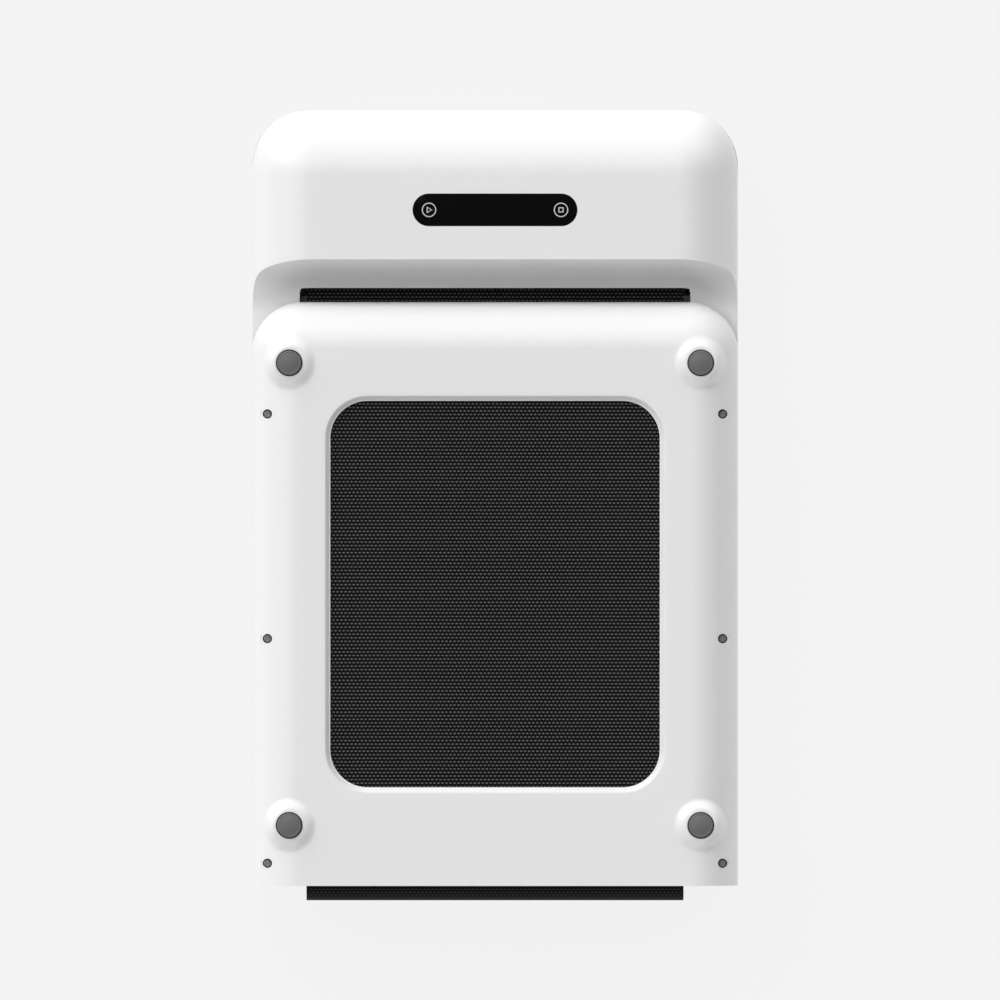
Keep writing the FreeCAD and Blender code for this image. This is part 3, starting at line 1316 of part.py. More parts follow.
def front_nodes():
    return {
        "front_bottom_cover": front_bottom_cover(),
        "head_cover": head_cover(),
        "front_left_foot_rail": foot_rail(-1, FRONT_START, FRONT_RAIL_V, FRONT_SCREW_V),
        "front_right_foot_rail": foot_rail(1, FRONT_START, FRONT_RAIL_V, FRONT_SCREW_V),
        "front_feet": feet(FRONT_FOOT_V),
        "front_cover_screws": cover_screws(FRONT_SCREW_V),
        "display_window": display_window(),
        "display_board": display_board(),
        "front_frame": front_frame(),
        "front_deck": deck(FRONT_DECK_END),
        "front_deck_screws": deck_screws(),
        "front_deck_isolators": deck_isolators(),
        "left_hinge_clevis": hinge_clevis(-1),
        "right_hinge_clevis": hinge_clevis(1),
        "hinge_pins": hinge_pins(),
        "running_belt_front": belt_run(FRONT_ROLLER_V),
        "running_belt_inner_fold": belt_inner_fold(),
        "running_belt_outer_fold": belt_outer_fold(),
        "front_roller_shaft": front_roller_shaft(),
        "front_roller_tube": roller_tube(FRONT_ROLLER_V),
        "front_roller_bearings": roller_bearings(FRONT_ROLLER_V),
        "front_roller_pulley": front_roller_pulley(),
        "drive_belt": drive_belt(),
        "motor_housing": motor_housing(),
        "motor_rotor": motor_rotor(),
        "motor_flywheel": flywheel(),
        "motor_pulley": motor_pulley(),
        "motor_bracket": motor_bracket(),
        "motor_bolts": motor_bolts(),
        "controller_board": controller_board(),
        "controller_heatsink": controller_heatsink(),
        "controller_components": controller_components(),
        "mains_panel": mains_panel(),
        "mains_inlet": mains_inlet(),
        "switch_frame": switch_frame(),
        "switch_rocker": switch_rocker(),
        "left_wheel_hub": wheel_hub(-1),
        "right_wheel_hub": wheel_hub(1),
        "left_wheel_tyre": wheel_tyre(-1),
        "right_wheel_tyre": wheel_tyre(1),
        "wheel_axles": wheel_axles(),
    }


def rear_nodes():
    upright = {
        "rear_bottom_cover": rear_bottom_cover(),
        "rear_left_foot_rail": foot_rail(1, REAR_START, REAR_RAIL_V, REAR_SCREW_V),
        "rear_right_foot_rail": foot_rail(-1, REAR_START, REAR_RAIL_V, REAR_SCREW_V),
        "rear_tail_cap": tail_cap(),
        "rear_feet": feet(REAR_FOOT_V),
        "rear_cover_screws": cover_screws(REAR_SCREW_V),
        "rear_frame": rear_frame(),
        "rear_deck": deck(REAR_DECK_END),
        "rear_deck_screws": deck_screws(),
        "rear_deck_isolators": deck_isolators(),
        "left_hinge_lug": hinge_lug(1),
        "right_hinge_lug": hinge_lug(-1),
        "running_belt_rear": belt_run(REAR_ROLLER_V),
        "rear_roller_shaft": rear_roller_shaft(),
        "rear_roller_tube": roller_tube(REAR_ROLLER_V),
        "rear_roller_bearings": roller_bearings(REAR_ROLLER_V),
        "tension_bolts": tension_bolts(),
    }
    return {name: turned_over(shape) for name, shape in upright.items()}


def main():
    os.makedirs("parts", exist_ok=True)
    for name, shape in {**front_nodes(), **rear_nodes()}.items():
        solids = shape.Solids
        piece = solids[0] if len(solids) == 1 else Part.makeCompound(solids)
        state = "valid" if piece.isValid() else "NOT VALID"
        print(f"{name}: {len(solids)} solid(s), {piece.Volume / 1000:.1f} cm3, {state}")
        piece.exportStep(f"parts/{name}.step")


main()
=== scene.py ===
import json
import math

import bmesh
import bpy
import numpy as np
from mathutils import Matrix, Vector


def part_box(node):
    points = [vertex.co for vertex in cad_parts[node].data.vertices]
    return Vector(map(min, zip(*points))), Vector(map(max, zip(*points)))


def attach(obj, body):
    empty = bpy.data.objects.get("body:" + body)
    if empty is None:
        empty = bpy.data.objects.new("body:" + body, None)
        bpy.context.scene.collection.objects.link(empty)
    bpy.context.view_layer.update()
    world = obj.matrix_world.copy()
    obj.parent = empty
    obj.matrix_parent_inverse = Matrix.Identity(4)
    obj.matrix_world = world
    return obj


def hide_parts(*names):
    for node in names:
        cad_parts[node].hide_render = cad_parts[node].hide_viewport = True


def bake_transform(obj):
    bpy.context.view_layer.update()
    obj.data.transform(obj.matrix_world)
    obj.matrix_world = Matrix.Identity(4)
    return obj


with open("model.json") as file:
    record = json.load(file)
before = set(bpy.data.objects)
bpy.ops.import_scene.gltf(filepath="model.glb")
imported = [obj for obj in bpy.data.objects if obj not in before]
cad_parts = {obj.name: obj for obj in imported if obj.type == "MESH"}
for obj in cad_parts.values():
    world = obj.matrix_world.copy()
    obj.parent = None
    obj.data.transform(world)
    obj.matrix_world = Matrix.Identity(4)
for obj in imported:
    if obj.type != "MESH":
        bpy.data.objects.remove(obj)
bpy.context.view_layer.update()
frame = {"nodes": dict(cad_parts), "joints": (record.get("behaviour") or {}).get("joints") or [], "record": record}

# Lengths are in millimetres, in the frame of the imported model, and become metres in make_mesh.
# The front half lies as it is used. The rear half is worked out the same way up and turned over.

MM = 0.001
SIDES = (-1, 1)


# ---- places taken from the frame --------------------------------------------------------

def extent(node):
    """Lowest and highest corner of a CAD node, in millimetres."""
    low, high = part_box(node)
    return np.array(low) / MM, np.array(high) / MM


def joint_place(name):
    """Point that a joint turns about, in millimetres."""
    joint = next(j for j in frame["joints"] if j["name"] == name)
    return np.array(joint["pos_m"]) / MM


FRONT_LOW, FRONT_HIGH = extent("front_bottom_cover")
_, REAR_HIGH = extent("rear_bottom_cover")
HEAD_LOW, HEAD_HIGH = extent("head_cover")
LENS_LOW, LENS_HIGH = extent("display_window")
BELT_LOW, BELT_HIGH = extent("running_belt_front")
FEET_LOW, FEET_HIGH = extent("front_feet")
REAR_FEET_LOW, REAR_FEET_HIGH = extent("rear_feet")
SCREWS_LOW, SCREWS_HIGH = extent("front_cover_screws")
REAR_SCREWS_LOW, REAR_SCREWS_HIGH = extent("rear_cover_screws")
RAIL_LOW, RAIL_HIGH = extent("front_right_foot_rail")
PANEL_LOW, PANEL_HIGH = extent("mains_panel")
MOTOR_LOW, MOTOR_HIGH = extent("motor_housing")

_, FOLD_Y, HINGE_Z = joint_place("fold")
_, FRONT_ROLLER_Y, ROLLER_Z = joint_place("front_roller_spin")
REAR_ROLLER_Y = joint_place("rear_roller_spin")[1]
WHEEL_X, WHEEL_Y, WHEEL_Z = joint_place("right_wheel_spin")

HALF_WIDTH = FRONT_HIGH[0]
WELL_HALF = RAIL_LOW[0]             # half of the well that the belt runs in
BELT_HALF = BELT_HIGH[0]
FRONT_END = FRONT_HIGH[1]
REAR_END = REAR_HIGH[1]
FRONT_START = FRONT_LOW[1]
REAR_START = extent("rear_left_foot_rail")[0][1]
SEAM_LOW = FRONT_HIGH[2]            # top edge of a bottom cover
SEAM_HIGH = HEAD_LOW[2]             # bottom edge of the head and the rails
RAIL_TOP = RAIL_HIGH[2]
HEAD_TOP = HEAD_HIGH[2]
BOSS_Z = FRONT_LOW[2]
BELT_BULGE = FOLD_Y - extent("running_belt_outer_fold")[0][1]

# ---- sizes of the new pieces ------------------------------------------------------------

WALL = 2.5
COVER_Z = 9.0                       # bottom cover above the floor
SIDE_ROUND = SEAM_HIGH - COVER_Z    # rounded side of a bottom cover
FRONT_CORNER = 60.0                 # corner of the front half, seen from above
REAR_CORNER = 54.0
LIP_RISE = 6.0                      # window's sloped lip
LIP_RUN = 5.3
LIP_EDGE = 0.7                      # small round where the lip starts
WINDOW_INSET = 78.0
WINDOW_FROM_FOLD = 93.8
WINDOW_FROM_TAIL = 99.8
WINDOW_CORNER = 45.0
BOSS_R = 28.5                       # rise round a foot, from its rim down to the cover
BOSS_RIM_R = 16.3
FOOT_R = 13.6
FOOT_HOLE_R = 14.3
FOOT_T = 7.0
SCREW_HOLE_R = 5.0
SCREW_HEAD_R = 4.2
SCREW_HEAD_T = 3.0
BELT_T = 1.6
HEAD_SIDE = 64.0                    # rounded side of the head, seen from above
HEAD_FRONT = 70.0
HEAD_SQUARE = 2.25                  # 2 would give the head's corners an ellipse
HEAD_LEAN = math.radians(21.0)
SWEEP_R = 50.0
HEAD_EDGE_Y = HEAD_HIGH[1] - 158.9
SLOT_TOP = 74.2
SLOT_CORNER = 4.0
LENS_GAP = 0.15
LENS_HALF = np.array([87.3, 17.2])
HINGE_SLOT = (211.8, 235.4)         # notch for a hinge, across X
HINGE_SLOT_Z = 39.1
WHEEL_ROOM = 23.0                   # a wheel's pocket, from its axle
WHEEL_POCKET_HALF = 10.0
POCKET_CORNER = 1.5
VENTS, VENT_PITCH, VENT_START = 8, 12.0, -102.0
VENT_HALF = (2.5, 30.0)
VENT_FROM_MOTOR = 4.0               # vents' middle, short of the motor's
PANEL_GAP = 0.15
PANEL_CORNER = 0.02                 # as good as square
BELT_EDGE_SOFT = 0.5                # worn edge of the belt

FOOT_X = FEET_HIGH[0] - FOOT_R
SCREW_X = SCREWS_HIGH[0] - SCREW_HEAD_R
FRONT_FOOT_Y = (FEET_LOW[1] + FOOT_R, FEET_HIGH[1] - FOOT_R)
REAR_FOOT_Y = (REAR_FEET_LOW[1] + FOOT_R, REAR_FEET_HIGH[1] - FOOT_R)
SCREW_FIRST_Y = REAR_SCREWS_LOW[1] + SCREW_HEAD_R
SCREW_LAST_Y = REAR_SCREWS_HIGH[1] - SCREW_HEAD_R
REAR_SCREW_Y = (SCREW_FIRST_Y, (SCREW_FIRST_Y + SCREW_LAST_Y) / 2, SCREW_LAST_Y)
FRONT_SCREW_Y = (*REAR_SCREW_Y, SCREWS_HIGH[1] - SCREW_HEAD_R)
SCREW_FLOOR_Z = SCREWS_LOW[2] + SCREW_HEAD_T
LENS_Y = (LENS_LOW[1] + LENS_HIGH[1]) / 2


# ---- gathering points and faces ---------------------------------------------------------

class Skin:
    """Points and faces of one piece, gathered before they become a mesh. A face names its
    points by number."""

    def __init__(self):
        self.points, self.faces, self.count = [], [], 0

    def add(self, points):
        """Adds an array of points and gives their numbers in an array of the same shape."""
        points = np.asarray(points, float)
        flat = points.reshape(-1, 3)
        numbers = np.arange(self.count, self.count + len(flat)).reshape(points.shape[:-1])
        self.points.append(flat)
        self.count += len(flat)
        return numbers

    def grid(self, numbers, wrap=False, keep=None):
        """Joins neighbouring rows and columns with quads. wrap joins the last column to the
        first, and keep leaves out the cells where it is false."""
        if wrap:
            numbers = np.concatenate([numbers, numbers[:, :1]], axis=1)
        quads = np.stack(
            [numbers[:-1, :-1], numbers[:-1, 1:], numbers[1:, 1:], numbers[1:, :-1]], axis=-1
        )
        self.faces.append(quads.reshape(-1, 4) if keep is None else quads[keep])

    def split_grid(self, numbers, keep, rising):
        """As grid, but with triangles: where rising, each quad is cut from its first corner to
        the opposite one, and elsewhere the other way."""
        a, b = numbers[:-1, :-1], numbers[:-1, 1:]
        c, d = numbers[1:, 1:], numbers[1:, :-1]
        for mask, (one, two) in (
            (keep & rising, ((a, b, c), (a, c, d))),
            (keep & ~rising, ((a, b, d), (b, c, d))),
        ):
            for corners in (one, two):
                self.faces.append(np.stack(corners, axis=-1)[mask])

    def fan(self, loop, centre):
        """Closes a loop of numbered points with triangles to a centre."""
        hub = int(self.add([centre])[0])
        ahead = np.roll(loop, -1)
        self.faces.append(np.stack([loop, ahead, np.full(len(loop), hub)], axis=-1))

    def place(self, numbers):
        """Where numbered points lie."""
        return np.concatenate(self.points)[numbers]


def turned_over(points):
    """The rear half lies on the front half: turned half round about the hinge's height."""
    return points * (-1, 1, -1) + (0, 0, 2 * HINGE_Z)


def make_mesh(name, skin, turned=False, outward=None, merge=0.02, belt_map=None):
    """Makes the mesh object, merges what meets, and turns its faces outwards. outward is a
    direction that most of an open skin faces. A closed one needs none. belt_map has each
    point's place on the UV map named belt."""
    points = np.concatenate(skin.points)
    if turned:
        points = turned_over(points)
    mesh = bpy.data.meshes.new(name)
    mesh.from_pydata((points * MM).tolist(), [],
                     [face for block in skin.faces for face in block.tolist()])
    if belt_map is not None:
        corner = np.empty(len(mesh.loops), int)
        mesh.loops.foreach_get("vertex_index", corner)
        mesh.uv_layers.new(name="belt").data.foreach_set("uv", belt_map[corner].ravel())
    obj = bpy.data.objects.new(name, mesh)
    bpy.context.scene.collection.objects.link(obj)
    build = bmesh.new()
    build.from_mesh(mesh)
    if merge:
        bmesh.ops.remove_doubles(build, verts=build.verts, dist=merge * MM)
        bmesh.ops.dissolve_degenerate(build, dist=0.2 * merge * MM, edges=build.edges)
    bmesh.ops.recalc_face_normals(build, faces=build.faces)
    if outward is not None:
        outward = Vector(outward)
        if sum(face.calc_area() * face.normal.dot(outward) for face in build.faces) < 0:
            bmesh.ops.reverse_faces(build, faces=build.faces)
    build.to_mesh(mesh)
    build.free()
    return obj


def thicken(obj, wall):
    """Gives an open skin its wall, inwards, and keeps the result as the mesh."""
    solid = obj.modifiers.new("wall", "SOLIDIFY")
    solid.thickness = wall * MM
    solid.offset = -1.0
    solid.use_even_offset = False
    graph = bpy.context.evaluated_depsgraph_get()
    final = bpy.data.meshes.new_from_object(obj.evaluated_get(graph))
    obj.modifiers.clear()
    obj.data = final


def shade(obj, material, sharp=38.0):
    """Gives the piece its material, and shades it smooth but for edges sharper than an angle."""
    mesh = obj.data
    mesh.polygons.foreach_set("use_smooth", np.ones(len(mesh.polygons), bool))
    mesh.set_sharp_from_angle(angle=math.radians(sharp))
    mesh.materials.clear()
    mesh.materials.append(material)


def finish_piece(obj, body, material, replaces=(), sharp=38.0):
    """Shades the piece, hangs it under its body's empty, and hides the CAD parts it stands for."""
    shade(obj, material, sharp)
    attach(obj, body)
    if replaces:
        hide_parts(*replaces)


def steps(start, end, size, marks=(), fineness=8001):
    """Positions from start to end that lie size(position) apart: even steps of the running sum
    of 1 / size. The nearest ones are moved onto the marks."""
    fine = start + (end - start) * np.linspace(0, 1, fineness) ** 2
    middle = (fine[1:] + fine[:-1]) / 2
    tally = np.concatenate([[0], np.cumsum(np.abs(np.diff(fine)) / size(middle))])
    lines = np.interp(np.linspace(0, tally[-1], int(np.ceil(tally[-1])) + 1), tally, fine)
    for mark in marks:
        lines[np.abs(lines - mark).argmin()] = mark
    return lines


def smooth(t):
    """Rises from 0 to 1 with level ends, by 3 t squared less 2 t cubed."""
    t = np.clip(t, 0, 1)
    return t * t * (3 - 2 * t)


# ---- holes in a grid --------------------------------------------------------------------

def hole_edge(xy, hole):
    """Distance from the edge of a rounded rectangle (less than 0 inside), the nearest point on
    the edge, and the edge's outward direction there. hole is (centre, half sizes, radius)."""
    centre, half, radius = hole
    offset = xy - centre
    core = np.clip(offset, -(half - radius), half - radius)
    arm = offset - core
    reach = np.linalg.norm(arm, axis=-1)
    direction = arm / np.maximum(reach, 1e-9)[..., None]
    return reach - radius, centre + core + direction * radius, direction


def open_hole(xy, keep, hole):
    """Clears the cells whose middles are in the hole, and moves the points round the opening
    onto its edge. Changes xy and keep; gives the edge's points in order, as (row, column)."""
    middle = (xy[:-1, :-1] + xy[:-1, 1:] + xy[1:, 1:] + xy[1:, :-1]) / 4
    inside = hole_edge(middle, hole)[0] < 0
    touched = np.zeros(xy.shape[:2], bool)
    kept = np.zeros(xy.shape[:2], bool)
    for rows, columns in ((slice(None, -1), slice(None, -1)), (slice(None, -1), slice(1, None)),
                          (slice(1, None), slice(1, None)), (slice(1, None), slice(None, -1))):
        touched[rows, columns] |= inside
        kept[rows, columns] |= ~inside
    keep &= ~inside
    edge = np.argwhere(touched & kept)
    at = (edge[:, 0], edge[:, 1])
    xy[at] = hole_edge(xy[at], hole)[1]
    around = xy[at] - hole[0]
    order = np.argsort(np.arctan2(around[:, 1], around[:, 0]))
    return edge[order]


def round_hole(x, y, radius):
    """A round hole, as hole_edge takes it."""
    return np.array([x, y]), np.array([radius, radius]), radius


def box_hole(cut, radius):
    """A hole over (x0, x1, y0, y1) with rounded corners, as hole_edge takes it."""
    x0, x1, y0, y1 = cut
    return np.array([x0 + x1, y0 + y1]) / 2, np.array([x1 - x0, y1 - y0]) / 2, radius


# ---- bottom covers ----------------------------------------------------------------------

def round_off(inset_x, inset_y, corner):
    """Moves the points near a square corner so that each square ring round it becomes a
    quarter circle about the corner's centre, of radius corner less the ring's inset."""
    ring = np.minimum(inset_x, inset_y)
    far = np.maximum(inset_x, inset_y)
    cornered = far < corner
    radius = corner - ring
    angle = np.where(cornered, (corner - far) / np.maximum(radius, 1e-9), 0) * math.pi / 4
    along, across = corner - radius * np.sin(angle), corner - radius * np.cos(angle)
    top = inset_y <= inset_x
    new_x = np.where(cornered, np.where(top, along, across), inset_x)
    new_y = np.where(cornered, np.where(top, across, along), inset_y)
    return new_x, new_y, ring


def side_height(inset):
    """Height of the cover's outside at an inset from its outline: a quarter circle, then flat."""
    rest = np.clip(1 - inset / SIDE_ROUND, 0, 1)
    return SEAM_HIGH - SIDE_ROUND * np.sqrt(1 - rest ** 2)


def inset_of(height):
    """Inset from the outline at which the rounded side has a height."""
    return SIDE_ROUND * (1 - math.sqrt(1 - ((SEAM_HIGH - height) / SIDE_ROUND) ** 2))


def side_step(inset, turn=0.06, flat_step=9.0):
    """Spacing that gives the rounded side an even turn a step, 0.06 radians or 3.5 degrees."""
    rest = np.clip(1 - inset / SIDE_ROUND, 0, 1)
    side = SIDE_ROUND * np.sqrt(1 - rest ** 2) * turn + 1e-4
    return np.where(inset < SIDE_ROUND, side, flat_step)


def cover_height(xy, ring, feet):
    """The rounded side and flat bottom, lifted smoothly to a level rim round each foot."""
    z = np.minimum(side_height(ring), SEAM_LOW)
    for x, y in feet:
        r = np.hypot(xy[..., 0] - x, xy[..., 1] - y)
        z = z + (BOSS_Z - z) * smooth((BOSS_R - r) / (BOSS_R - BOSS_RIM_R))
    return z


def near(places, reach, size, p, otherwise):
    """A spacing: otherwise, but no more than size within reach of any of the places."""
    close = np.min([np.abs(p - place) for place in places], axis=0) < reach
    return np.where(close, np.minimum(size, otherwise), otherwise)


def bottom_skin(start, end, corner, foot_y, screws_y, pockets=(), vents=(), panel=None):
    """Outside of a bottom cover, lying as the front half does: one grid of points over the
    plan, rounded at the far corners, with its holes cut and their walls sunk. A pocket, vent or
    panel opening is (x0, x1, y0, y1)."""
    feet = [(s * FOOT_X, y) for s in SIDES for y in foot_y]
    window_x = HALF_WIDTH - WINDOW_INSET + LIP_EDGE
    window_y0 = FOLD_Y + WINDOW_FROM_FOLD - LIP_EDGE
    window_y1 = REAR_END - WINDOW_FROM_TAIL + LIP_EDGE
    cuts = [*pockets, *vents] + ([panel] if panel else [])
    bow = WINDOW_CORNER / 2

    def spacing(inset, place, feet_at, screws_at, bows_at, cuts_at):
        """Finest at screws, then at cut edges, at feet and where the window's corners turn."""
        size = side_step(inset)
        for places, reach, step in (
            (feet_at, BOSS_R + 2, 2.0),
            (screws_at, SCREW_HOLE_R + 2.5, 1.0),
            (bows_at, bow + 3, 3.5),
            (cuts_at, 2.6, 1.3),
        ):
            size = near(places, reach, step, place, size) if places else size
        return size

    def size_x(inset):
        """Spacing across X at an inset from the side."""
        return spacing(inset, HALF_WIDTH - inset, [FOOT_X], [SCREW_X], [window_x - bow],
                       [abs(x) for cut in cuts for x in cut[:2]])

    def size_y(inset):
        """Spacing along Y at an inset from the far end."""
        return spacing(inset, end - inset, foot_y, screws_y, [window_y0 + bow, window_y1 - bow],
                       [y for cut in cuts for y in cut[2:]])

    # Lines of the grid run along every straight edge of an opening.
    marks_x = [HALF_WIDTH - x for x in (window_x, WELL_HALF, *HINGE_SLOT)]
    marks_x += sorted({round(HALF_WIDTH - abs(x), 3) for cut in cuts for x in cut[:2]})
    marks_y = [end - window_y0, end - window_y1]
    marks_y += sorted({round(end - y, 3) for cut in cuts for y in cut[2:]})
    inset = steps(0, HALF_WIDTH, size_x, marks_x)
    across = np.concatenate([-(HALF_WIDTH - inset), (HALF_WIDTH - inset)[-2::-1]])
    inset_x = HALF_WIDTH - np.abs(across)
    inset_y = steps(0, end - start, size_y, marks_y)
    grid_x, grid_y = np.meshgrid(inset_x, inset_y)
    new_x, new_y, ring = round_off(grid_x, grid_y, corner)
    side = np.sign(across)[None, :]
    xy = np.stack([side * (HALF_WIDTH - new_x), end - new_y], axis=-1)
    plain = xy.copy()
    keep = np.ones((len(inset_y) - 1, len(across) - 1), bool)

    window = box_hole((-window_x, window_x, window_y0, window_y1), WINDOW_CORNER + LIP_EDGE)
    window_edge = open_hole(xy, keep, window)
    wells = [(round_hole(x, y, FOOT_HOLE_R), FOOT_T) for x, y in feet]
    wells += [(round_hole(s * SCREW_X, y, SCREW_HOLE_R), SCREW_FLOOR_Z)
              for s in SIDES for y in screws_y]
    wells += [(box_hole(cut, POCKET_CORNER), WHEEL_Z + WHEEL_ROOM) for cut in pockets]
    well_edges = [open_hole(xy, keep, hole) for hole, _ in wells]
    for cut in vents:
        open_hole(xy, keep, box_hole(cut, (cut[1] - cut[0]) / 2))
    panel_edge = open_hole(xy, keep, box_hole(panel, PANEL_CORNER)) if panel else None

    # A point that moved up the rounded side takes the height of its new place.
    moved = np.linalg.norm(xy - plain, axis=-1) > 1e-6
    depth = HALF_WIDTH - np.abs(xy[..., 0])
    ring = np.where(moved & (depth < SIDE_ROUND), np.minimum(depth, end - xy[..., 1]), ring)
    z = cover_height(xy, ring, feet)
    skin = Skin()
    numbers = skin.add(np.concatenate([xy, z[..., None]], axis=-1))
    skin.grid(numbers, keep=keep)

    sink_lip(skin, numbers[tuple(window_edge.T)], window)
    for (hole, floor_z), edge in zip(wells, well_edges):
        sink(skin, numbers[tuple(edge.T)], hole[0], floor_z)
    if panel:
        loop = numbers[tuple(panel_edge.T)]
        rim = skin.place(loop)
        rim[:, 1] = PANEL_LOW[1]
        skin.grid(np.array([loop, skin.add(rim)]), wrap=True)
    end_wall(skin, numbers[-1], across)
    return skin


def sink(skin, loop, centre, floor_z):
    """Straight wall from a hole's edge to a level floor, closed with a centre point."""
    top = skin.place(loop)
    floor = top * (1, 1, 0) + (0, 0, floor_z)
    rows = [loop, skin.add(top + (floor - top) * 0.5), skin.add(floor)]
    skin.grid(np.array(rows), wrap=True)
    skin.fan(rows[-1], (*centre, floor_z))


def sink_lip(skin, loop, hole):
    """The window's lip: a small round, an even slope down, and a narrow level rim inside."""
    top = skin.place(loop)
    direction = hole_edge(top[:, :2], hole)[2]
    inward = np.concatenate([-direction, np.zeros((len(loop), 1))], axis=1)
    rim, drop = 0.9, LIP_RISE
    slope = math.atan2(drop, LIP_RUN - rim)
    rows, turn_r = [loop], 2 * LIP_EDGE
    for angle in np.linspace(0, slope, 4)[1:]:
        run, rise = turn_r * math.sin(angle), turn_r * (1 - math.cos(angle))
        rows.append(skin.add(top + inward * run + (0, 0, rise)))
    for run in (LIP_RUN + LIP_EDGE - rim, LIP_RUN + LIP_EDGE):
        rows.append(skin.add(top + inward * run + (0, 0, drop)))
    skin.grid(np.array(rows), wrap=True)


def end_wall(skin, border, across):
    """Flat wall at the fold, from the cover's outline up to the belt's opening, with a notch
    for each hinge."""
    outline = skin.place(border)
    rows = [border]
    for level in (COVER_Z + LIP_RISE, HINGE_SLOT_Z, SEAM_LOW):
        row = outline.copy()
        row[:, 2] = np.maximum(outline[:, 2], level)
        rows.append(skin.add(row))
    middle = np.abs(across[1:] + across[:-1]) / 2
    in_belt, in_slot = middle < WELL_HALF, (middle > HINGE_SLOT[0]) & (middle < HINGE_SLOT[1])
    keep = np.stack([np.ones(len(middle), bool), ~in_belt, ~in_belt & ~in_slot])
    skin.grid(np.array(rows), keep=keep)


def rear_cover(material):
    """Bottom cover of the rear half, turned over to lie uppermost."""
    skin = bottom_skin(REAR_START, REAR_END, REAR_CORNER, REAR_FOOT_Y, REAR_SCREW_Y)
    obj = make_mesh("rear_bottom_shell", skin, turned=True, outward=(0, 0, 1))
    thicken(obj, WALL)
    finish_piece(obj, "rear_half", material, ["rear_bottom_cover"])


def front_cover(material):
    """Bottom cover of the front half, with wheel pockets, motor vents and the panel's opening."""
    def cut_round(x, y, half_x, half_y):
        """Sides of a cut, by its middle and half sizes."""
        return x - half_x, x + half_x, y - half_y, y + half_y

    wheels = [cut_round(s * WHEEL_X, WHEEL_Y, WHEEL_POCKET_HALF, WHEEL_ROOM) for s in SIDES]
    vent_y = (MOTOR_LOW[1] + MOTOR_HIGH[1]) / 2 - VENT_FROM_MOTOR
    vents = [cut_round(VENT_START + n * VENT_PITCH, vent_y, *VENT_HALF) for n in range(VENTS)]
    panel_y = [FRONT_END - inset_of(z) for z in (PANEL_LOW[2], PANEL_HIGH[2])]
    panel = (PANEL_LOW[0] - PANEL_GAP, PANEL_HIGH[0] + PANEL_GAP, *panel_y)
    skin = bottom_skin(FRONT_START, FRONT_END, FRONT_CORNER, FRONT_FOOT_Y, FRONT_SCREW_Y,
                       wheels, vents, panel)
    obj = make_mesh("front_bottom_shell", skin, outward=(0, 0, -1))
    thicken(obj, WALL)
    finish_piece(obj, "front_half", material, ["front_bottom_cover"])


# ---- head -------------------------------------------------------------------------------

def head_side(height):
    """Inset of the head's side at a height above the seam: a quarter ellipse."""
    share = np.clip((height - SEAM_HIGH) / (HEAD_TOP - SEAM_HIGH), 0, 1)
    return HEAD_SIDE * (1 - np.sqrt(1 - share ** 2))


def head_rise(share):
    """Height at a share of the way out from the flat top (0) to the outline (1)."""
    return SEAM_HIGH + (HEAD_TOP - SEAM_HIGH) * np.sqrt(np.clip(1 - share ** 2, 0, 1))


def sweep_y(height):
    """Y of the head's rear face at a height: an arc out of the rails, then a leaning line."""
    line = HEAD_EDGE_Y - (HEAD_TOP - height) * math.tan(HEAD_LEAN)
    corner_y = HEAD_EDGE_Y - (HEAD_TOP - RAIL_TOP) * math.tan(HEAD_LEAN)
    foot_y = corner_y - SWEEP_R * math.tan((math.pi / 2 - HEAD_LEAN) / 2)
    rise = np.clip((height - RAIL_TOP) / SWEEP_R, 0, 1)
    arc = foot_y + SWEEP_R * np.sqrt(1 - (1 - rise) ** 2)
    return np.where(rise < 1 - math.sin(HEAD_LEAN), arc, line)


def round_corners(x, y):
    """Moves the points in the head's corners so that each square ring becomes part of a
    superellipse. Gives x, y, the share of the way out (as head_rise takes it), and which
    points are in a corner."""
    out_x = np.clip(1 - (HALF_WIDTH - np.abs(x)) / HEAD_SIDE, 0, 1)
    out_y = np.clip(1 - (FRONT_END - y) / HEAD_FRONT, 0, 1)
    share = np.maximum(out_x, out_y)
    turn = np.where(share > 0, np.minimum(out_x, out_y) / np.maximum(share, 1e-9), 0) * math.pi / 4
    power = 2 / HEAD_SQUARE
    big, small = share * np.cos(turn) ** power, share * np.sin(turn) ** power
    cornered = (out_x > 0) & (out_y > 0)
    new_x = np.where(out_x >= out_y, big, small)
    new_y = np.where(out_x >= out_y, small, big)
    x = np.where(cornered, np.sign(x) * (HALF_WIDTH - HEAD_SIDE * (1 - new_x)), x)
    y = np.where(cornered, FRONT_END - HEAD_FRONT * (1 - new_y), y)
    return x, y, share, cornered


def head_levels():
    """Heights of the grid's lines up the side: even turns of the side's ellipse, even turns of
    the rear sweep's arc, and the heights that edges need."""
    tall = HEAD_TOP - SEAM_HIGH
    side = SEAM_HIGH + tall * np.sin(np.radians(np.linspace(0, 90, 40)))
    sweep = RAIL_TOP + SWEEP_R * (1 - np.cos(np.linspace(0, math.pi / 2 - HEAD_LEAN, 24)))
    share = 1 - (HALF_WIDTH - np.array([WELL_HALF, WELL_HALF - SLOT_CORNER])[::-1]) / HEAD_SIDE
    well = SEAM_HIGH + tall * np.sqrt(1 - share ** 2)
    slot = SLOT_TOP - SLOT_CORNER * (1 - np.cos(np.radians([0, 30, 60, 90])))
    marks = np.concatenate([[SEAM_HIGH, RAIL_TOP, HEAD_TOP], well, slot])
    free, clear_of_mark, least_gap = np.concatenate([side, sweep]), 0.12, 0.02
    free = free[np.min(np.abs(free[:, None] - marks[None, :]), axis=1) > clear_of_mark]
    levels = np.sort(np.concatenate([free, marks]))
    return levels[np.concatenate([[True], np.diff(levels) > least_gap])]


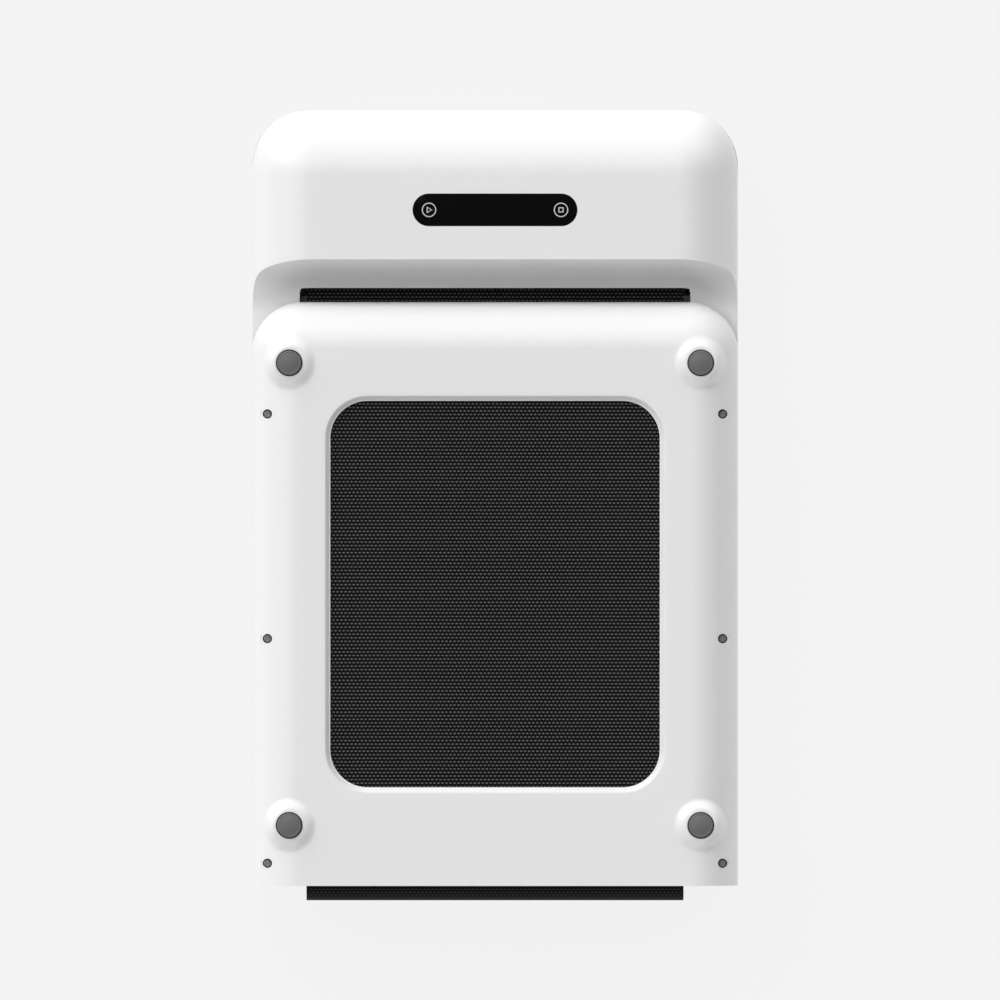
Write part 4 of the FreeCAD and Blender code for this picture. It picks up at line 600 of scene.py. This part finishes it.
def head_skin():
    """Outside of the head: a grid over the plan. Its height is the lower of the rounded block
    and the rear sweep. Lines up the side and down the sweep share their heights, so that the
    crease between the two runs through the grid's corners."""
    levels = head_levels()
    inset = head_side(levels)
    fine, coarse = 1.6, 7.0
    lens_r = LENS_HALF[1] + LENS_GAP
    lens = (np.array([0, LENS_Y]), LENS_HALF + LENS_GAP, lens_r)
    pill_end = lens[1][0] - lens_r / 2
    middle = steps(HALF_WIDTH - HEAD_SIDE, 0,
                   lambda x: near([pill_end], lens_r / 2 + 3, fine, x, coarse))
    half = np.concatenate([HALF_WIDTH - inset, middle[1:]])
    across = np.concatenate([-half, half[-2::-1]])
    side_z = np.concatenate([levels, np.full(len(middle) - 1, HEAD_TOP)])
    side_z = np.concatenate([side_z, side_z[-2::-1]])

    rising = levels[levels >= RAIL_TOP - 1e-6]
    stub = np.linspace(HEAD_LOW[1], sweep_y(RAIL_TOP), 4)[:-1]
    flat = steps(FRONT_END - HEAD_FRONT, HEAD_EDGE_Y,
                 lambda y: near([LENS_Y], lens_r + 3, fine, y, coarse - 1))
    turn = np.radians(np.linspace(0, 90, 34))
    front = FRONT_END - HEAD_FRONT * (1 - np.sin(turn))
    along = np.concatenate([stub, sweep_y(rising), flat[-2::-1], front[1:]])
    rear_z = np.concatenate([np.full(len(stub), RAIL_TOP), rising,
                             np.full(len(flat) - 1 + len(front) - 1, HEAD_TOP)])

    x, y, share, cornered = round_corners(*np.meshgrid(across, along))
    z = np.minimum(head_rise(share), rear_z[:, None])
    z = np.minimum(z, np.where(cornered, HEAD_TOP, side_z[None, :]))

    xy = np.stack([x, y], axis=-1)
    keep = np.ones((len(along) - 1, len(across) - 1), bool)
    open_hole(xy, keep, lens)
    middle_x = np.abs(across[1:] + across[:-1]) / 2
    middle_z = (rear_z[1:] + rear_z[:-1]) / 2
    reach = middle_x[None, :] - (WELL_HALF - SLOT_CORNER)
    height = middle_z[:, None] - (SLOT_TOP - SLOT_CORNER)
    rounded = (reach > 0) & (height > 0) & (np.hypot(reach, height) > SLOT_CORNER)
    in_slot = (reach < SLOT_CORNER) & (height < SLOT_CORNER) & ~rounded
    early = np.arange(len(along) - 1)[:, None] < len(stub) + len(rising) - 1
    keep &= ~(in_slot & early)

    skin = Skin()
    numbers = skin.add(np.concatenate([xy, z[..., None]], axis=-1))
    swept = np.zeros_like(keep)
    swept[: len(stub) + len(rising)] = True
    skin.split_grid(numbers, keep & swept, np.broadcast_to(across[1:] <= 0, keep.shape))
    skin.grid(numbers, keep=keep & ~swept)
    well_walls(skin, numbers, across, rear_z)
    return skin


def well_walls(skin, numbers, across, rear_z, deck_gap=0.6):
    """Walls beside the belt, from the rails' inner edge down to deck_gap above the seam."""
    rows = np.flatnonzero(rear_z <= SLOT_TOP - SLOT_CORNER + 1e-6)
    for side in SIDES:
        column = np.abs(across - side * WELL_HALF).argmin()
        top = numbers[rows, column]
        low = skin.place(top) * (1, 1, 0) + (0, 0, SEAM_HIGH + deck_gap)
        skin.grid(np.array([top, skin.add(low)]))


def head_shell(material):
    """The motor head's shell, with the rail stubs that are moulded with it."""
    obj = make_mesh("head_shell", head_skin(), outward=(0, 0, 1), merge=0.01)
    thicken(obj, WALL)
    finish_piece(obj, "front_half", material, ["head_cover"], sharp=28.0)


# ---- display ----------------------------------------------------------------------------

def at_height(outline, z):
    """Points of an outline, all at one height."""
    return np.concatenate([outline, np.full((len(outline), 1), z)], axis=1)


def pill_outline(half, count=24):
    """Outline of a bar with round ends."""
    reach, radius = half[0] - half[1], half[1]
    right = np.radians(np.linspace(-90, 90, count))
    left = right + math.pi
    x = np.concatenate([reach + radius * np.cos(right), -reach + radius * np.cos(left)])
    y = np.concatenate([radius * np.sin(right), radius * np.sin(left)])
    return np.stack([x, y], axis=-1)


def lens_piece(material):
    """Lens of the display: a flat pill with a fine rounded edge, and its flange underneath."""
    edge, flange, under = 0.5, 3.0, HEAD_TOP - WALL
    rows = [(-edge * (1 - math.sin(a)), HEAD_TOP - edge * (1 - math.cos(a)))
            for a in np.radians([0, 30, 60, 90])]
    rows += [(0.0, under), (flange, under), (flange, LENS_LOW[2])]
    skin = Skin()
    made = [skin.add(at_height(pill_outline(LENS_HALF + grow) + (0, LENS_Y), z))
            for grow, z in rows]
    skin.grid(np.array(made), wrap=True)
    for ring, (_, z) in ((made[0], rows[0]), (made[-1], rows[-1])):
        skin.fan(ring, (0, LENS_Y, z))
    obj = make_mesh("display_lens", skin)
    finish_piece(obj, "front_half", material, ["display_window"])


def printed_shape(skin, outer, inner, centre, z, height):
    """Thin raised print between two outlines with as many points each."""
    rings = [skin.add(at_height(outline + centre, level)) for outline, level in
             ((inner, z), (inner, z + height), (outer, z + height), (outer, z))]
    skin.grid(np.array(rings + rings[:1]), wrap=True)


def circle(radius, count=64):
    """Outline of a circle."""
    angle = np.linspace(0, 2 * math.pi, count, endpoint=False)
    return radius * np.stack([np.cos(angle), np.sin(angle)], axis=-1)


def polygon(corners, each=8):
    """Closed outline with extra points along each side."""
    corners = np.array(corners, float)
    ahead = np.roll(corners, -1, axis=0)
    t = np.linspace(0, 1, each, endpoint=False)[None, :, None]
    return (corners[:, None] + (ahead - corners)[:, None] * t).reshape(-1, 2)


def display_marks(material):
    """Two touch keys printed on the lens: a ring with an arrow, and a ring with a square."""
    key_x, ring_r, stroke, print_t, hollow = 70.0, 7.6, 0.95, 0.04, 0.66
    skin = Skin()
    arrow = polygon([(-2.4, -3.4), (3.6, 0.0), (-2.4, 3.4)])
    square = polygon([(-2.7, -2.7), (2.7, -2.7), (2.7, 2.7), (-2.7, 2.7)])
    for side, shape in ((-1, arrow), (1, square)):
        centre = np.array([side * key_x, LENS_Y])
        for outer, inner in ((circle(ring_r), circle(ring_r - stroke)), (shape, shape * hollow)):
            printed_shape(skin, outer, inner, centre, HEAD_TOP, print_t)
    obj = make_mesh("display_marks", skin, merge=0.001)
    finish_piece(obj, "front_half", material)


# ---- pieces turned on a lathe -----------------------------------------------------------

def arc_points(centre, radius, start, end, count):
    """Points of an arc about a centre, by angle in degrees."""
    angle = np.radians(np.linspace(start, end, count))
    return np.array(centre) + radius * np.stack([np.cos(angle), np.sin(angle)], axis=-1)


def lathe(name, profile, spots, turned, sides):
    """Turns a profile of (radius, height) round an upright axis at each spot, and makes the
    mesh. The profile starts and ends on the axis."""
    angle = np.linspace(0, 2 * math.pi, sides, endpoint=False)
    profile = np.array(profile, float)
    r, z = profile[1:-1, 0, None], profile[1:-1, 1, None]
    skin = Skin()
    for x, y in spots:
        ring = np.stack([x + r * np.cos(angle), y + r * np.sin(angle), z + 0 * angle], axis=-1)
        numbers = skin.add(ring)
        skin.grid(numbers, wrap=True)
        skin.fan(numbers[0], (x, y, profile[0, 1]))
        skin.fan(numbers[-1], (x, y, profile[-1, 1]))
    return make_mesh(name, skin, turned=turned)


def foot_pads(half, foot_y, material, gap_shade_material):
    """Rubber pads: flat face with a rolled edge and a faint moulded ring. A black ring fills
    the gap between each pad and its hole in the shell: painted shade, a dark piece where the gap's shadow falls."""
    edge, groove_r, groove_half, groove_deep, sides = 1.3, 10.6, 0.4, 0.18, 72
    pad_r, under = FOOT_R - 0.7, FOOT_T - 0.05
    profile = [(0, 0.0), (groove_r - groove_half, 0.0), (groove_r, groove_deep),
               (groove_r + groove_half, 0.0), *arc_points((pad_r - edge, edge), edge, -90, 0, 7),
               (pad_r, under), (0, under)]
    inner_r, outer_r, gap_shade_z = pad_r + 0.02, FOOT_HOLE_R - 0.03, BOSS_Z + 0.5
    step_z, low_z = gap_shade_z + 0.6, gap_shade_z + 1.5
    gap_shade_profile = [(0, step_z), (inner_r, step_z), (inner_r, gap_shade_z), (outer_r, gap_shade_z),
            (outer_r, low_z), (0, low_z)]
    spots = [(s * FOOT_X, y) for s in SIDES for y in foot_y]
    body, turned = f"{half}_half", half == "rear"
    obj = lathe(f"{half}_foot_pads", profile, spots, turned, sides)
    finish_piece(obj, body, material, [f"{half}_feet"])
    # A black ring in the gap round each pad: painted shade.
    obj = lathe(f"{half}_foot_pads_gap_shade", gap_shade_profile, spots, turned, sides)
    finish_piece(obj, body, gap_shade_material)


def cover_screws(half, screw_y, material, well_shade_material):
    """Flat-head screws with a rounded shoulder and a hollow for the driver, each on a black
    ring that fills its well: painted shade, a dark piece where the deep well's shade falls round the head."""
    top, floor, tip = SCREWS_LOW[2], SCREW_FLOOR_Z, SCREWS_HIGH[2]
    head_r, shoulder, shank_r, socket_r, socket_deep, bevel = 3.7, 1.0, 2.0, 1.9, 1.5, 0.2
    shade_ring_r, shade_ring_t, shade_ring_edge, gap, sides = 4.9, 0.9, 0.3, 0.02, 32
    seat, shade_ring_top = floor - shade_ring_t, floor - shade_ring_t + gap
    profile = [(0, top + socket_deep), (socket_r, top + socket_deep), (socket_r, top + bevel),
               (socket_r + bevel, top),
               *arc_points((head_r - shoulder, top + shoulder), shoulder, -90, 0, 6),
               (head_r, seat), (shank_r, seat), (shank_r, tip), (0, tip)]
    well_shade_profile = [(0, shade_ring_top), (head_r, shade_ring_top),
              *arc_points((shade_ring_r - shade_ring_edge, shade_ring_top + shade_ring_edge), shade_ring_edge,
                          -90, 0, 4),
              (shade_ring_r, floor - gap), (0, floor - gap)]
    spots = [(s * SCREW_X, y) for s in SIDES for y in screw_y]
    body, turned = f"{half}_half", half == "rear"
    obj = lathe(f"{half}_shell_screws", profile, spots, turned, sides)
    finish_piece(obj, body, material, [f"{half}_cover_screws"])
    # A black ring filling each well round the head: painted shade.
    obj = lathe(f"{half}_shell_screws_well_shade", well_shade_profile, spots, turned, sides)
    finish_piece(obj, body, well_shade_material)


# ---- running belt -----------------------------------------------------------------------

def belt_piece(name, path, start=0.0, turned=False):
    """A stretch of belt: the outer side's path in (y, z) carried across the belt's width, with
    the belt's thickness on its left. Its UV map is (x, distance along the belt) in metres."""
    path = np.array(path)
    ahead = np.gradient(path, axis=0)
    left = np.stack([-ahead[:, 1], ahead[:, 0]], axis=-1)
    left /= np.linalg.norm(left, axis=1)[:, None]
    run = start + np.concatenate([[0], np.cumsum(np.linalg.norm(np.diff(path, axis=0), axis=1))])
    across = np.array([-1.0, -0.998, -0.5, 0.0, 0.5, 0.998, 1.0]) * BELT_HALF
    soft = BELT_EDGE_SOFT * np.array([1, 0, 0, 0, 0, 0, 1])
    skin = Skin()
    rows, maps = [], []
    for depth, sink_by in ((0.0, 1.0), (BELT_T, -1.0)):
        level = path[:, None] + left[:, None] * (depth + sink_by * soft[None, :, None])
        x = np.broadcast_to(across[None, :], level.shape[:2])
        rows.append(skin.add(np.concatenate([x[..., None], level], axis=-1)))
        maps.append(np.stack([x, np.broadcast_to(run[:, None], x.shape)], axis=-1))
    outer, inner = rows
    skin.grid(outer)
    skin.grid(inner[:, ::-1])
    for column in (0, -1):
        skin.grid(np.stack([outer[:, column], inner[:, column]], axis=1)[:, ::1 if column else -1])
    for row in (0, -1):
        skin.grid(np.stack([outer[row], inner[row]], axis=0)[::1 if row == 0 else -1])
    belt_map = np.concatenate([m.reshape(-1, 2) for m in maps]) * MM
    return make_mesh(name, skin, turned=turned, merge=0, belt_map=belt_map), run[-1]


def belt_path(roller_y):
    """Outer side of the belt on one half, from the fold along the top, round the roller and
    back below, so that the belt's thickness lies on the path's right."""
    reach = BELT_HIGH[2] - ROLLER_Z
    top = [(y, BELT_HIGH[2]) for y in np.linspace(FOLD_Y, roller_y, 40)[:-1]]
    turn = arc_points((roller_y, ROLLER_Z), reach, 90, -90, 41)
    low = [(y, ROLLER_Z - reach) for y in np.linspace(roller_y, FOLD_Y, 40)[1:]]
    return np.concatenate([top, turn, low])


def running_belt(material, fold_shade_material):
    """The endless belt in four pieces that meet at the fold: a run on each half and two short
    bends."""
    front = belt_path(FRONT_ROLLER_Y)[::-1]
    obj, far = belt_piece("belt_front_run", front)
    finish_piece(obj, "front_half", material, ["running_belt_front"])
    rear = belt_path(REAR_ROLLER_Y)[::-1]
    obj, _ = belt_piece("belt_rear_run", rear, turned=True)
    finish_piece(obj, "rear_half", material, ["running_belt_rear"])

    near_r = HINGE_Z - BELT_HIGH[2]
    inner = arc_points((FOLD_Y, HINGE_Z), near_r, 90, 270, 33)
    obj, _ = belt_piece("belt_inner_fold", inner, far)
    bend(obj, material, ["running_belt_inner_fold"])

    tall, radius = HINGE_Z - BELT_LOW[2], BELT_BULGE
    low = arc_points((FOLD_Y, HINGE_Z - tall + radius), radius, 270, 180, 13)
    high = arc_points((FOLD_Y, HINGE_Z + tall - radius), radius, 180, 90, 13)
    straight = np.stack([np.full(30, FOLD_Y - radius),
                         np.linspace(low[-1][1], high[0][1], 32)[1:-1]], axis=-1)
    outer = np.concatenate([low, straight, high])[::-1]
    # The outer bend's belting has its crowns painted dark: painted shade.
    obj, _ = belt_piece("belt_outer_fold", outer)
    bend(obj, fold_shade_material, ["running_belt_outer_fold"])


def bend(obj, material, replaces):
    """Shades a bend of the belt, keeps its place in its points, and hides the CAD parts it replaces."""
    shade(obj, material)
    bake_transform(obj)
    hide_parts(*replaces)


# ---- materials --------------------------------------------------------------------------

def linear(hex_colour):
    """Linear RGBA of an sRGB hex colour."""
    parts = [int(hex_colour[i:i + 2], 16) / 255 for i in (1, 3, 5)]
    return [p / 12.92 if p <= 0.04045 else ((p + 0.055) / 1.055) ** 2.4 for p in parts] + [1.0]


def add(tree, kind, settings=None, **links):
    """Adds a node. settings are its properties; links fill its inputs with a value, a socket,
    or another node, whose first output is meant. An input's name is written with _ for a
    space, or as its number after an i."""
    node = tree.nodes.new(kind)
    for key, value in (settings or {}).items():
        setattr(node, key, value)
    for key, value in links.items():
        numbered = key[0] == "i" and key[1:].isdigit()
        socket = node.inputs[int(key[1:])] if numbered else node.inputs[key.replace("_", " ")]
        if isinstance(value, bpy.types.Node):
            value = value.outputs[0]
        if isinstance(value, bpy.types.NodeSocket):
            tree.links.new(value, socket)
        else:
            socket.default_value = value
    return node


def new_tree(name):
    """An empty material and its node tree."""
    material = bpy.data.materials.new(name)
    material.use_nodes = True
    material.node_tree.nodes.clear()
    return material, material.node_tree


def coat(material, shade_by, colours, gloss, relief, high_mm, **surface):
    """Ends a material: its colour goes from the first to the second by one value, its roughness
    is gloss, and its relief, from 0 to 1, stands high_mm high."""
    tree = material.node_tree
    colour = add(tree, "ShaderNodeMix", {"data_type": "RGBA"}, Factor=shade_by,
                 i6=linear(colours[0]), i7=linear(colours[1]))
    bump = add(tree, "ShaderNodeBump", Height=relief, Distance=high_mm * MM)
    shader = add(tree, "ShaderNodeBsdfPrincipled", Base_Color=colour.outputs[2], Roughness=gloss,
                 Normal=bump, **surface)
    add(tree, "ShaderNodeOutputMaterial", Surface=shader)
    return material


def grained(name, colours, grain_mm, rough, bump_mm, stretch=(1, 1, 1), detail=2.0, **surface):
    """A finish with one fine grain, grain_mm across and stretched along X, Y and Z. The grain
    shades between two colours and two roughnesses, and stands bump_mm high."""
    material, tree = new_tree(name)
    place = add(tree, "ShaderNodeTexCoord").outputs["Object"]
    place = add(tree, "ShaderNodeMapping", Vector=place, Scale=[1 / s for s in stretch])
    grain = add(tree, "ShaderNodeTexNoise", Vector=place, Scale=1 / (grain_mm * MM), Detail=detail)
    gloss = add(tree, "ShaderNodeMapRange", Value=grain, From_Min=0.3, From_Max=0.7,
                To_Min=rough[0], To_Max=rough[1])
    return coat(material, grain, colours, gloss, grain, bump_mm, **surface)


def white_abs():
    """White ABS, injection moulded in a polished tool: a clean soft gloss, with an orange peel
    too faint to see except in a reflection, and a colour that drifts by a hair where it flowed."""
    flow_mm, sink_mm, peel_mm, peel_deep_mm = 90.0, 45.0, 2.4, 0.0006
    material, tree = new_tree("white_abs_moulded_gloss")
    place = add(tree, "ShaderNodeTexCoord").outputs["Object"]
    flow, sinks, peel = (add(tree, "ShaderNodeTexNoise", Vector=place, Scale=1 / (size * MM))
                         for size in (flow_mm, sink_mm, peel_mm))
    gloss = add(tree, "ShaderNodeMapRange", Value=sinks, From_Min=0.3, From_Max=0.7,
                To_Min=0.30, To_Max=0.33)
    return coat(material, flow, ("#E5E5E5", "#E6E6E6"), gloss, peel, peel_deep_mm, IOR=1.53)


def embossed_pvc(name, crown_highlight_colour, high_mm):
    """PVC belting, embossed by a roller: staggered oval lozenges on a dark ground. Each
    crown is painted lighter, a painted highlight, and noise makes that painted highlight stronger
    on some crowns than on others. The height is smooth from a lozenge's rim to its middle, by its distance in half
    sizes."""
    pitch_x, pitch_y, half_x, half_y, highlight_patch_mm = 4.28, 3.76, 1.75, 1.05, 2.6
    material, tree = new_tree(name)
    along_belt = add(tree, "ShaderNodeUVMap", {"uv_map": "belt"})
    parts = add(tree, "ShaderNodeSeparateXYZ", Vector=along_belt)
    made = {"x": parts.outputs[0], "y": parts.outputs[1]}
    for key, operation, a, b in (
        ("row", "MULTIPLY", "y", 1 / (pitch_y * MM)),
        ("row number", "FLOOR", "row", 0.0),
        ("shift", "MULTIPLY", "row number", 0.5),
        ("even column", "MULTIPLY", "x", 1 / (pitch_x * MM)),
        ("column", "ADD", "even column", "shift"),
        ("across", "FRACT", "column", 0.0),
        ("from middle x", "SUBTRACT", "across", 0.5),
        ("share x", "MULTIPLY", "from middle x", pitch_x / half_x),
        ("square x", "POWER", "share x", 2.0),
        ("down", "FRACT", "row", 0.0),
        ("from middle y", "SUBTRACT", "down", 0.5),
        ("share y", "MULTIPLY", "from middle y", pitch_y / half_y),
        ("square y", "POWER", "share y", 2.0),
        ("distance", "ADD", "square x", "square y"),
    ):
        made[key] = add(tree, "ShaderNodeMath", {"operation": operation},
                        i0=made.get(a, a), i1=made.get(b, b)).outputs[0]
    crown = add(tree, "ShaderNodeMapRange", {"interpolation_type": "SMOOTHSTEP"},
                Value=made["distance"], From_Min=1.15, From_Max=0.15)
    place = add(tree, "ShaderNodeTexCoord").outputs["Object"]
    patches = add(tree, "ShaderNodeTexNoise", Vector=place, Scale=1 / (highlight_patch_mm * MM), Detail=3.0)
    # Noise patches: the painted highlight on the crowns is stronger in some than in others.
    patchy_highlight = add(tree, "ShaderNodeMapRange", Value=patches, From_Min=0.3, From_Max=0.7,
               To_Min=0.75, To_Max=1.0)
    painted_crown_light = add(tree, "ShaderNodeMath", {"operation": "MULTIPLY"}, i0=crown, i1=patchy_highlight)
    gloss = add(tree, "ShaderNodeMapRange", Value=crown, To_Min=0.72, To_Max=0.5)
    # The crowns' lighter colour is a painted highlight on the dark ground.
    return coat(material, painted_crown_light, ("#030303", crown_highlight_colour), gloss, crown, high_mm, IOR=1.5,
                Specular_IOR_Level=0.12)


def circuit_board():
    """Glass-fibre board, pressed and printed with green solder mask: the weave under the mask
    shows as a faint even check."""
    thread_mm, weave_deep_mm = 5.0, 0.03          # real thread is 0.5 mm, too fine to show
    material, tree = new_tree("solder_mask_board")
    place = add(tree, "ShaderNodeTexCoord").outputs["Object"]
    weave = add(tree, "ShaderNodeTexBrick", Vector=place, Scale=1 / (thread_mm * MM)).outputs["Fac"]
    return coat(material, weave, ("#14482C", "#0E3820"), 0.35, weave, weave_deep_mm, IOR=1.5)


def slot_materials():
    """One material for each of the record's slots."""
    return {
        "white_shell": white_abs(),
        # Belt crowns painted lighter: painted highlight.
        "belt": embossed_pvc("pvc_belt_embossed_painted_highlight", "#646464", 0.6),
        "board_green": circuit_board(),
        # Smoked acrylic, cast and polished: deep black, nearly a mirror.
        "black_lens": grained("smoked_acrylic_polished", ("#080809", "#0B0B0C"), 1.5, (0.05, 0.09),
                              0.0001, IOR=1.49, Specular_IOR_Level=0.04),
        # Natural rubber, compression moulded: matt grey, softly grained.
        "grey_rubber": grained("foot_rubber_moulded", ("#5C5C5C", "#666666"), 0.9, (0.42, 0.56),
                               0.02, detail=3.0, IOR=1.52),
        # Neoprene, moulded and ground: near black and dull.
        "drive_rubber": grained("neoprene_ground", ("#151515", "#1E1E1E"), 0.5, (0.42, 0.56),
                                0.02, detail=3.0, IOR=1.52),
        # Polyurethane, cast on its hub: dark grey with a waxy sheen.
        "tyre": grained("wheel_polyurethane_cast", ("#3A3A3C", "#454547"), 1.4, (0.42, 0.56),
                        0.02, detail=3.0, IOR=1.52),
        # Nylon, moulded in a spark-eroded tool: black with a dry, even texture.
        "black_plastic": grained("black_nylon_moulded", ("#161617", "#1D1D1E"), 0.6, (0.39, 0.53),
                                 0.02, IOR=1.5),
        # Steel, powder coated: low gloss over a pebbled skin.
        "dark_steel": grained("powder_coated_steel", ("#1B1B1D", "#242426"), 1.1, (0.4, 0.55),
                              0.06, detail=1.0, IOR=1.5),
        # Steel, rolled and zinc plated: pale grey with a fine rolling grain.
        "zinc_steel": grained("zinc_plated_steel", ("#9C9D9A", "#C2C3C0"), 1.0, (0.32, 0.46),
                              0.01, (0.4, 0.4, 8.0), Metallic=1.0),
        # Steel, ground between centres: bright, with rings round the shaft.
        "bright_steel": grained("ground_steel", ("#8F8F8D", "#B9B9B6"), 1.0, (0.22, 0.36),
                                0.01, (6.0, 0.3, 0.3), Metallic=1.0),
        # Steel, blackened and oiled, yet coloured pale grey: a painted glint on the rounded heads deep in their
        # wells.
        "screw_black": grained("black_oxide_steel_painted_glint", ("#8E8E8E", "#A2A2A2"), 1.0, (0.42, 0.56),
                               0.01, (0.4, 0.4, 8.0), Metallic=1.0),
        # Aluminium, extruded: satin, with lines along the fins.
        "aluminium": grained("extruded_aluminium", ("#B4B5B6", "#D0D1D2"), 1.0, (0.3, 0.44),
                             0.01, (0.4, 8.0, 0.4), Metallic=1.0),
        # Cast iron, turned: dark grey and a little open in the grain.
        "cast_iron": grained("turned_cast_iron", ("#4C4C4C", "#6A6A6A"), 1.0, (0.45, 0.59),
                             0.01, (0.4, 0.4, 0.4), Metallic=1.0),
        # Epoxy and sleeved cans, dipped: dark and half glossy.
        "components": grained("dipped_epoxy", ("#202224", "#2C2E30"), 0.6, (0.29, 0.43),
                              0.02, IOR=1.5),
        # Fibreboard, pressed with a phenolic face and waxed: near black, with fine fibres.
        "deck_board": grained("phenolic_faced_fibreboard", ("#2C2A28", "#3E3B38"), 3.0,
                              (0.42, 0.58), 0.02, (0.33, 3.3, 0.33), detail=4.0, IOR=1.5),
    }


def fold_pvc_painted_shade():
    """The same belting where the wide turn pulls it tight: the lozenges lie flatter, and
    their crowns are painted dark, as painted shade on the turn."""
    return embossed_pvc("pvc_belt_fold_painted_shade", "#2A2A2A", 0.15)


def screen_ink():
    """Screen-printed ink: flat, light grey, very slightly uneven where the mesh laid it down."""
    return grained("screen_print_ink", ("#C4C4C6", "#D8D8DA"), 0.8, (0.55, 0.65), 0.002)


def dress_frame(materials):
    """Gives each CAD node that stays in view the material of its slot."""
    slots = {part["node"]: part["material_slot"] for part in frame["record"]["subparts"]}
    for name, obj in frame["nodes"].items():
        obj.data.materials.clear()
        obj.data.materials.append(materials[slots[name]])


# ---- studio -----------------------------------------------------------------------------

# Soft lamps: where each stands round the object (degrees from +X, and above the floor), and
# its strength. The strongest is at the far left, and weaker ones fill from near and far right.
LAMPS = ((135, 15, 1.78), (135, 45, 1.38), (270, 15, 1.45), (45, 15, 0.95), (90, 15, 0.50),
         (67, 45, 0.44), (180, 15, 0.22), (0, 90, 0.34))
LAMP_SPREAD = 60.0
FLOOR_GLOW = 0.862
FLOOR_HALF = 40.0                   # metres
SKY_GLOW = 0.02


def studio():
    """Pale floor that gives off most of its own light, and soft lamps far away all round."""
    scene = bpy.context.scene
    scene.view_settings.view_transform = "Standard"
    world = bpy.data.worlds.new("sky")
    world.use_nodes = True
    world.node_tree.nodes["Background"].inputs["Strength"].default_value = SKY_GLOW
    scene.world = world

    mesh = bpy.data.meshes.new("floor")
    corners = [(x * FLOOR_HALF, y * FLOOR_HALF, 0) for x, y in ((-1, -1), (1, -1), (1, 1), (-1, 1))]
    mesh.from_pydata(corners, [], [(0, 1, 2, 3)])
    floor = bpy.data.objects.new("floor", mesh)
    scene.collection.objects.link(floor)
    material, tree = new_tree("floor_paper")
    shader = add(tree, "ShaderNodeBsdfPrincipled", Base_Color=linear("#383838"), Roughness=1.0,
                 Specular_IOR_Level=0.0, Emission_Color=linear("#FFFFFF"),
                 Emission_Strength=FLOOR_GLOW)
    add(tree, "ShaderNodeOutputMaterial", Surface=shader)
    mesh.materials.append(material)

    for n, (turn, rise, strength) in enumerate(LAMPS):
        light = bpy.data.lights.new(f"lamp_{n}", "SUN")
        light.energy, light.angle = strength, math.radians(LAMP_SPREAD)
        lamp = bpy.data.objects.new(f"lamp_{n}", light)
        lamp.rotation_euler = (0, math.radians(90 - rise), math.radians(turn))
        scene.collection.objects.link(lamp)


def camera():
    """Straight above, far off with a long lens, so that nothing leans."""
    view_width, centre, distance, sensor = 1064.3, (5.3, 5.3), 35.4, 36.0
    lens = bpy.data.cameras.new("camera")
    lens.sensor_width = sensor
    lens.lens = sensor * distance / (view_width * MM)
    lens.clip_start, lens.clip_end = 1.0, 100.0
    obj = bpy.data.objects.new("camera", lens)
    obj.location = (centre[0] * MM, centre[1] * MM, distance)
    bpy.context.scene.collection.objects.link(obj)
    bpy.context.scene.camera = obj


# ---- everything -------------------------------------------------------------------------

studio()
camera()
made = slot_materials()
dress_frame(made)
rear_cover(made["white_shell"])
front_cover(made["white_shell"])
head_shell(made["white_shell"])
lens_piece(made["black_lens"])
display_marks(screen_ink())
foot_pads("front", FRONT_FOOT_Y, made["grey_rubber"], made["drive_rubber"])
foot_pads("rear", REAR_FOOT_Y, made["grey_rubber"], made["drive_rubber"])
cover_screws("rear", REAR_SCREW_Y, made["screw_black"], made["black_plastic"])
cover_screws("front", FRONT_SCREW_Y, made["screw_black"], made["black_plastic"])
running_belt(made["belt"], fold_pvc_painted_shade())
